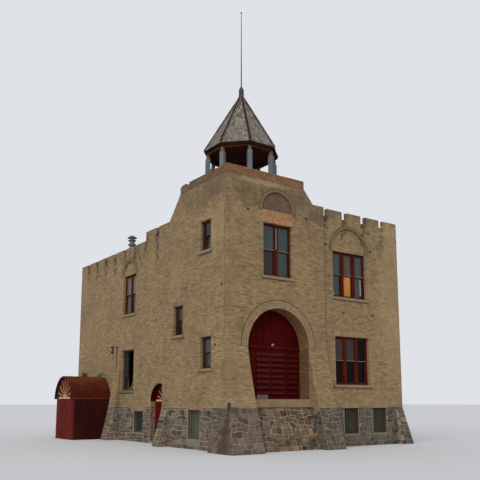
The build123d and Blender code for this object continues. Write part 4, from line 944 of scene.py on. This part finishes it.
def metal_finish(name, tone, roughness, rust):
    """Painted iron or dull sheet, with rust in its low patches."""
    material, tree, shader, place = new_finish(name, roughness)
    flake = add(tree, "ShaderNodeTexNoise", {}, {"Vector": place, "Scale": 9.0, "Detail": 6.0})
    worn = add(tree, "ShaderNodeMapRange", {}, {
        "Value": flake.outputs["Fac"], "From Min": 0.5, "From Max": 0.68, "To Min": 0.0, "To Max": rust})
    base = add(tree, "ShaderNodeMix", {"data_type": "RGBA"}, {
        "Factor": worn.outputs[0], 6: linear(tone), 7: linear("#4a2c1a")}).outputs[2]
    tree.links.new(base, shader.inputs["Base Color"])
    bumped(tree, shader, flake.outputs["Fac"], 0.002)
    return material


broken_bar = plates("broken_bar", "left", [(rect(9.24, 9.27, 2.362, 4.118), 0.64, 0.67)])
finished(broken_bar, board_finish("bare_frame_wood", "#2c2920", 5.0, 2, 0.85, 0.4, "#5c5440"))
# The remnant plate is near black: painted shade of the dark room seen through the broken window.
remnant = [(rect(9.272, 9.548, 2.9, 4.118), 0.652, 0.656)]
finished(plates("broken_pane", "left", remnant), mortar_finish("dark_room_shade", "#17140f"))
debris = [([(8.5, 2.362), (9.1, 2.362), (9.05, 2.42), (8.62, 2.52)], 0.66, 0.68),
          ([(9.0, 2.362), (9.07, 2.362), (8.62, 2.86), (8.57, 2.83)], 0.685, 0.70)]
finished(plates("broken_debris", "left", debris), board_finish("broken_wood", "#6b5a45", 0.5, 2, 0.85, 0.4, "#8a7a62"))
finished(plates("broken_sill_face", "left", [(rect(8.265, 9.715, 2.195, 2.296), 0.4465, 0.4497)]),
         mortar_finish("limed_sill", "#6d5d47"))
bars = []
for centre, foot, head in ((6.2, 0.56, 1.46), (7.85, 0.56, 1.46)):
    bars += [(rect(centre - 0.3 + 0.1 * i, centre - 0.288 + 0.1 * i, foot, head), 0.193, 0.205) for i in range(7)]
finished(plates("basement_bars", "front", bars), metal_finish("bar_iron", "#504e40", 0.7, 0.4))
finished(plates("basement_apron", "left", [(rect(1.74, 2.68, 0.1, 0.366), -0.016, -0.0003)]),
         mortar_finish("apron_concrete", "#7c705b"))
finished(plates("basement_jamb_boards", "left", [(rect(2.572, 2.628, 0.372, 1.458), 0.0865, 0.0897)]),
         mortar_finish("bleached_wood", "#675a44"))
# Thin dark plates on the jambs of the basement openings.
reveals = boxes("basement_reveals", [
    ((0.004, 2.6265, 0.372), (0.086, 2.6297, 1.458)), ((0.504, 8.1965, 0.402), (0.586, 8.1997, 1.358)),
    ((6.5965, 0.104, 0.502), (6.5997, 0.186, 1.518)), ((8.2465, 0.104, 0.502), (8.2497, 0.186, 1.518))])
finished(reveals, mortar_finish("dark_reveal", "#4a3f2e"))
# A near-black plate in the side basement opening: painted shade of the dark opening.
finished(plates("side_basement_dark", "left", [(rect(7.50, 8.19, 0.41, 1.35), 0.636, 0.6395)]),
         mortar_finish("opening_shade_black", "#1c1611"))
finished(plates("side_basement_red", "left", [(rect(7.35, 7.497, 0.41, 1.35), 0.632, 0.6395)]),
         board_finish("old_red_edge", "#2c0b08", 5.0, 2, 0.8, 0.3, "#5c3a2c"))
# Painted shadow under each sill: a thin dark band of plates on the brick just below it.
sill_shadows = {"front": [], "left": []}
for look, centre, half, foot, wall in (
        ("front", 2.36, 0.81, 6.39, 0), ("front", 6.3, 1.07, 5.93, 0.1), ("front", 6.35, 1.07, 2.34, 0.1),
        ("left", 1.49, 0.48, 7.4, 0), ("left", 1.42, 0.48, 2.88, 0), ("left", 3.49, 0.48, 4.28, 0),
        ("left", 8.98, 0.76, 5.78, 0.5), ("left", 8.99, 0.73, 2.19, 0.5)):
    sill_shadows[look].append((rect(centre - half, centre + half, foot - 0.038, foot - 0.002), wall - 0.0035, wall - 0.0003))
sill_shadow_finish = mortar_finish("sill_shadow_paint", "#544430")
for look, shadow_band in sill_shadows.items():
    finished(plates(look + "_sill_shadows", look, shadow_band), sill_shadow_finish)
finished(plates("front_basement_sills", "front", [(rect(5.74, 6.66, 0.4, 0.496), 0.06, 0.0997),
                                                  (rect(7.39, 8.31, 0.4, 0.496), 0.06, 0.0997)]),
         mortar_finish("cast_sill", "#6f6656"))

# Side doorway. An arched frame and a pair of panelled leaves in the same red, with a cream
# sunburst over a white bar in the head; the arch's reveal is lined with red boards, painted a darker
# red than the door as painted shade inside the arch.
dress(["side_door_frame", "side_door_near", "side_door_far"],
      board_finish("side_door_paint", "#560f0a", 0.12, 1, 0.8, 0.1, "#6b3128"))
lining = plates("side_arch_lining", "left", [(arch_outline(5.88, 1.782, 0.76, 0.7695), 0.503, 0.748)])
finished(lining, board_finish("lining_paint_in_shade", "#3a0c08", 0.1, 0, 0.8, 0.2, "#552a20"))


def sunburst_faces(front, centre, foot, reach, bar, bar_front):
    """Outlines of the cream faces on the seven rays, the hub and the bar of a sunburst."""
    faces = [(arch_outline(centre, foot + 0.003, 0, 0.117, 8), front - 0.0035, front - 0.0003)]
    for i in range(7):
        turn = math.pi * (i + 0.5) / 7
        ray = [(0.122, -0.0165), (reach, -0.0165), (reach, 0.0165), (0.122, 0.0165)]
        outline = [(centre + r * math.cos(turn) - s * math.sin(turn), foot + r * math.sin(turn) + s * math.cos(turn))
                   for r, s in ray]
        faces.append((outline, front - 0.0035, front - 0.0003))
    return faces + [(rect(*bar), bar_front - 0.0035, bar_front - 0.0003)]


cream = board_finish("cream_paint", "#b3976f", 5.0, 2, 0.8, 0.4, "#8a6a4c")
finished(plates("door_sunburst", "left", sunburst_faces(0.763, 5.88, 1.87, 0.6, (5.172, 6.588, 1.784, 1.866), 0.75)),
         cream)

# Vestibule. A light timber porch with a barrel roof of painted boards, red all over, with painted
# shade near black under its front edge and a darker red on the walls behind the gable; a small
# capped vent stands on its crown.
finished(plates("gable_sunburst", "left", sunburst_faces(-1.387, 11.9, 2.0, 0.872, (11.152, 12.648, 1.912, 1.998), -1.4)),
         cream)
# Painted shade: a near-black lining under the roof's front overhang.
overhang_shade = plates("eave_painted_shade", "left", [(arch_outline(11.9, 1.902, 1.038, 1.0495), -1.486, -1.372)])
finished(overhang_shade, mortar_finish("eave_shade_black", "#0d0b0a"))
blind = plates("blind_arch_panel", "left", [(arch_outline(11.9, 2.303, 0, 0.825), 0.534, 0.5395)])
finished(blind, mortar_finish("blind_render", "#7f8272"))
# Painted shade: past the gable face the walls turn a darker red, for the shade under the eaves.
vestibule_red_and_shade = board_finish(
    "vestibule_paint_and_shade", "#5f201b", 0.16, "along", 0.8, 0.25, "#7a4136", (0, tower_corner.x - 1.289, "#35120e"))
dress(["vestibule_walls", "vestibule_door"], vestibule_red_and_shade)
rusty, tree, shader, place = new_finish("rusted_roof_paint", 0.8)
shader.inputs["Specular IOR Level"].default_value = 0.05
split = add(tree, "ShaderNodeSeparateXYZ", {}, {0: place})
# Darker towards the eave and lighter and browner up to the crown, with a light line at the eave itself.
rise = add(tree, "ShaderNodeMapRange", {}, {"Value": split.outputs[2], "From Min": 1.9, "From Max": 3.0})
band = add(tree, "ShaderNodeValToRGB", {"stops": [
    (0.0, "#7a3420"), (0.05, "#4c1a11"), (0.35, "#431a0d"), (0.7, "#4c2412"), (1.0, "#5e321c")]}, {"Fac": rise.outputs[0]})
streak_place = add(tree, "ShaderNodeVectorMath", {"operation": "MULTIPLY"}, {0: place, 1: (1.2, 7.0, 7.0)})
streaks = mottled(tree, band.outputs["Color"], streak_place.outputs[0], 1.0, 0.78, 1.2)
patchy = mottled(tree, streaks, place, 2.5, 0.72, 1.25)
tree.links.new(mottled(tree, patchy, place, 25.0, 0.85, 1.12), shader.inputs["Base Color"])
blister = add(tree, "ShaderNodeTexNoise", {}, {"Vector": place, "Scale": 30.0, "Detail": 5.0})
bumped(tree, shader, blister.outputs["Fac"], 0.004)
dress(["vestibule_roof"], rusty)

# Belfry. Blue-grey boxed posts that carry a ring plate, a dark boarded soffit, and an eight-sided
# roof of weathered shingles with dark metal over its hips.
post_paint = board_finish("belfry_paint", "#5b6468", 5.0, 2, 0.8, 0.5, "#52483f", (2, 11.5, "#6a5648"))
dress(["belfry_posts"], post_paint)
dress(["belfry_plate", "belfry_soffit"], board_finish("belfry_dark_boards", "#46241a", 0.12, 0, 0.8, 0.3, "#5a3426"))

black_iron = metal_finish("black_iron", "#1b1714", 0.6, 0.4)
dress(["belfry_finial", "lightning_rod"], black_iron)
dress(["vestibule_vent"], metal_finish("vent_paint", "#4f2418", 0.8, 0.5))
dress(["belfry_roof"], board_finish("roof_edge_boards", "#1f1a17", 5.0, 2, 0.85, 0.2, "#2c2620"))
dress(["roof_ventilator"], metal_finish("zinc_sheet", "#5f6060", 0.55, 0.3))

belfry_centre = tower_corner + Vector((1.86, 1.715, 0.0))
eave_radius, eave_top, apex = 1.56, 11.85, 14.47
exposure, shingle_width = 0.115, 0.11
shingle_points, shingle_edges, shingle_out = [], [], []
slant = math.hypot(eave_radius * math.cos(math.pi / 8), apex - eave_top)
rows = int(slant / exposure)
for row in range(rows):
    rise = row / rows
    ring = eave_radius * (1 - rise)
    level = eave_top + (apex - eave_top) * rise
    for side in range(8):
        ends = []
        for corner in (side, side + 1):
            angle = math.radians(22.5 + 45 * corner)
            ends.append(belfry_centre + Vector((ring * math.cos(angle), ring * math.sin(angle), level)))
        middle = math.radians(45 + 45 * side)
        tilt = math.atan2(apex - eave_top, eave_radius * math.cos(math.pi / 8))
        out = Vector((math.cos(middle) * math.sin(tilt), math.sin(middle) * math.sin(tilt), math.cos(tilt)))
        shingle_edges.append((len(shingle_points), len(shingle_points) + 1))
        shingle_points += ends
        shingle_out += [out, out]


def shingle_tree():
    """Runs shingles along each edge, face out and butt down."""
    tree, given, result = new_tree("shingle_rows", [
        ("Width", "Float"), ("Length", "Float"), ("Butt", "Float"), ("Seed", "Int"), ("Material", "Material")])
    runs = add(tree, "GeometryNodeMeshToCurve", {}, {"Mesh": given.outputs["Geometry"]})
    points = add(tree, "GeometryNodeCurveToPoints", {"mode": "LENGTH"}, {
        "Curve": runs.outputs[0], "Length": given.outputs["Width"]})
    size = add(tree, "ShaderNodeCombineXYZ", {}, {
        0: given.outputs["Width"], 1: given.outputs["Length"], 2: given.outputs["Butt"]})
    shingle = add(tree, "GeometryNodeMeshCube", {}, {"Size": size.outputs[0]})
    half = add(tree, "ShaderNodeMath", {"operation": "MULTIPLY"}, {0: given.outputs["Length"], 1: 0.5})
    lift = add(tree, "ShaderNodeCombineXYZ", {}, {1: half.outputs[0]})
    hung = add(tree, "GeometryNodeTransform", {}, {"Geometry": shingle.outputs[0], "Translation": lift.outputs[0]})
    out = add(tree, "GeometryNodeInputNamedAttribute", {"data_type": "FLOAT_VECTOR"}, {"Name": "out"})
    facing = add(tree, "FunctionNodeAlignRotationToVector", {"axis": "Z"}, {"Vector": out.outputs[0]})
    along = add(tree, "FunctionNodeAlignRotationToVector", {"axis": "X", "pivot_axis": "Z"}, {
        "Rotation": facing.outputs[0], "Vector": points.outputs["Tangent"]})
    low = add(tree, "FunctionNodeRandomValue", {"data_type": "FLOAT_VECTOR"}, {
        0: (0.8, 0.9, 0.7), 1: (1.02, 1.06, 1.3), "Seed": given.outputs["Seed"]})
    laid = add(tree, "GeometryNodeInstanceOnPoints", {}, {
        "Points": points.outputs[0], "Instance": hung.outputs[0], "Rotation": along.outputs[0],
        "Scale": low.outputs[0]})
    shade = add(tree, "FunctionNodeRandomValue", {"data_type": "FLOAT"}, {"Seed": 5})
    stored = add(tree, "GeometryNodeStoreNamedAttribute", {"data_type": "FLOAT", "domain": "INSTANCE"}, {
        "Geometry": laid.outputs[0], "Name": "shade", "Value": shade.outputs[1]})
    real = add(tree, "GeometryNodeRealizeInstances", {}, {"Geometry": stored.outputs[0]})
    painted = add(tree, "GeometryNodeSetMaterial", {}, {
        "Geometry": real.outputs[0], "Material": given.outputs["Material"]})
    tree.links.new(painted.outputs[0], result.inputs[0])
    return tree


shingles = new_piece("belfry_shingles", shingle_points, [], shingle_edges)
layer = shingles.data.attributes.new("out", "FLOAT_VECTOR", "POINT")
layer.data.foreach_set("vector", [value for out in shingle_out for value in out])
shingle_tones = ["#4d473e", "#655d53", "#746c62", "#5a5249", "#81796e", "#48423a"]
shingle_face = stone_finish("weathered_shingle", shingle_tones, 0.92)
grow(shingles, shingle_tree(), {
    "Width": shingle_width, "Length": 0.2, "Butt": 0.014, "Seed": 9, "Material": shingle_face})
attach(shingles, "hall")
hip_points, hip_faces = [], []
for corner in range(8):
    turn = math.radians(22.5 + 45 * corner)
    outward, across = Vector((math.cos(turn), math.sin(turn), 0)), Vector((-math.sin(turn), math.cos(turn), 0))
    lift = (outward * 0.86 + Vector((0, 0, 0.51))) * 0.046
    start = len(hip_points)
    for ring, level, half in ((eave_radius - 0.03, eave_top + 0.03, 0.046), (0.06, apex - 0.11, 0.036)):
        spot = belfry_centre + outward * ring + Vector((0, 0, level))
        hip_points += [spot - across * half, spot + across * half, spot + across * half + lift, spot - across * half + lift]
    hip_faces += [[start + i for i in quad] for quad in (
        (0, 1, 2, 3), (7, 6, 5, 4), (0, 4, 5, 1), (1, 5, 6, 2), (2, 6, 7, 3), (3, 7, 4, 0))]
finished(new_piece("hip_strips", hip_points, hip_faces), board_finish(
    "tarred_hip", "#2a1f19", 5.0, 2, 0.85, 0.2, "#3a2c22"))

# Fittings on the walls. Cast anchor plates with a nut, a scupper's pipe end, a bracket with two
# insulators, a conduit, a pale lamp over the door, and bare patches; they are pinned to the brick.
front_plates = [(0.935, 8.961, 0), (2.357, 8.728, 0), (3.83, 9.032, 0), (4.928, 8.981, 0.1), (4.962, 8.18, 0.1),
                (7.492, 8.987, 0.1), (7.581, 8.196, 0.1), (5.89, 5.389, 0.1), (7.6, 5.4, 0.1)]
side_plates = [(0.376, 6.027, 0), (0.784, 3.838, 0), (6.213, 8.141, 0.5), (8.033, 8.446, 0.5), (10.644, 8.199, 0.5),
               (12.544, 8.267, 0.5), (6.281, 5.333, 0.5), (5.548, 6.221, 0.5)]
for name, look, spots in (("front_anchor_plates", "front", front_plates), ("side_anchor_plates", "left", side_plates)):
    outlines = [(disc(along, level, 0.05), wall - 0.016, wall - 0.0003) for along, level, wall in spots]
    outlines += [(disc(along, level, 0.02, 6), wall - 0.035, wall - 0.0165) for along, level, wall in spots]
    finished(plates(name, look, outlines), black_iron)
wall_irons = [(disc(8.013, 1.536, 0.03), 0.486, 0.4997), (disc(6.392, 1.546, 0.03), 0.486, 0.4997),
              (rect(-0.525, -0.46, 1.5, 1.73), -0.3, -0.205), (rect(10.58, 10.62, 4.09, 4.48), 0.44, 0.4997)]
wall_irons += [(disc(10.6, level, 0.04), 0.34, 0.4397) for level in (4.17, 4.40)]
wall_irons += [(disc(10.15, 4.37, 0.035), 0.42, 0.4997), (rect(10.14, 10.165, 3.16, 4.34), 0.455, 0.48)]
finished(plates("wall_irons", "left", wall_irons), black_iron)
# Painted shadow: a thin dark line down the tower's front corner, where the front wall steps back.
finished(plates("corner_shadow_line", "front", [(rect(4.786, 4.797, 1.6, 9.69), -0.0035, -0.0003)]),
         mortar_finish("corner_shadow_paint", "#3d3122"))
# A thin dark vertical line on the tower's side, near its front corner.
finished(plates("side_dark_line", "left", [(rect(0.155, 0.18, 7.75, 9.0), -0.0035, -0.0003),
                                       (rect(0.16, 0.174, 4.2, 7.75), -0.0035, -0.0003)]),
         mortar_finish("dark_line_paint", "#5c4b35"))
finished(plates("door_lamp", "front", [(disc(2.5, 3.93, 0.048), 0.52, 0.5797)]), mortar_finish("lamp_white", "#9a8680"))
finished(plates("door_patch", "front", [(rect(1.76, 2.28, 1.87, 2.03), 0.574, 0.5797)]),
         mortar_finish("patch_sheet", "#6e625c"))

# Stage, lamps and camera. A pale floor and a pale sky all round, soft light from above and the
# front, and the camera where the photographer stood, at eye level on the street corner.
floor = new_piece("floor", [(-400, -400, 0), (400, -400, 0), (400, 400, 0), (-400, 400, 0)], [(0, 1, 2, 3)])
floor_paint, tree, shader, place = new_finish("pale_floor", 1.0)
shader.inputs["Base Color"].default_value = (0.52, 0.52, 0.53, 1)
floor.data.materials.append(floor_paint)

world = bpy.data.worlds.new("overcast")
bpy.context.scene.world = world
world.use_nodes = True
tree = world.node_tree
background = tree.nodes["Background"]
path = add(tree, "ShaderNodeLightPath")
seen = add(tree, "ShaderNodeMath", {"operation": "MAXIMUM"}, {
    0: path.outputs["Is Camera Ray"], 1: path.outputs["Is Glossy Ray"]})
seen = add(tree, "ShaderNodeMath", {"operation": "MAXIMUM"}, {0: seen.outputs[0], 1: path.outputs["Is Transmission Ray"]})
sky = add(tree, "ShaderNodeMix", {"data_type": "RGBA"}, {
    "Factor": seen.outputs[0], 6: (0.62, 0.64, 0.66, 1), 7: (0.74, 0.76, 0.80, 1)})
tree.links.new(sky.outputs[2], background.inputs["Color"])
background.inputs["Strength"].default_value = 1.0

for name, turn, strength, spread in (
        ("high_light", (math.radians(35), 0, math.radians(-45)), 1.2, 60),
        ("corner_light", (math.radians(70), 0, math.radians(-50)), 1.1, 50)):
    lamp = bpy.data.lights.new(name, "SUN")
    lamp.energy = strength
    lamp.angle = math.radians(spread)
    holder = bpy.data.objects.new(name, lamp)
    holder.rotation_euler = turn
    bpy.context.scene.collection.objects.link(holder)

camera = bpy.data.cameras.new("street_corner")
camera.sensor_width = 36.0
camera.lens = 49.17
camera.shift_y = 0.11875
camera.clip_end = 500.0
eye = bpy.data.objects.new("street_corner", camera)
eye.location = (-17.255, -26.265, 1.76)
eye.rotation_euler = (math.radians(90 + 9.1), 0.0, math.radians(-35.58))
bpy.context.scene.collection.objects.link(eye)
bpy.context.scene.camera = eye
bpy.context.scene.view_settings.view_transform = "Standard"
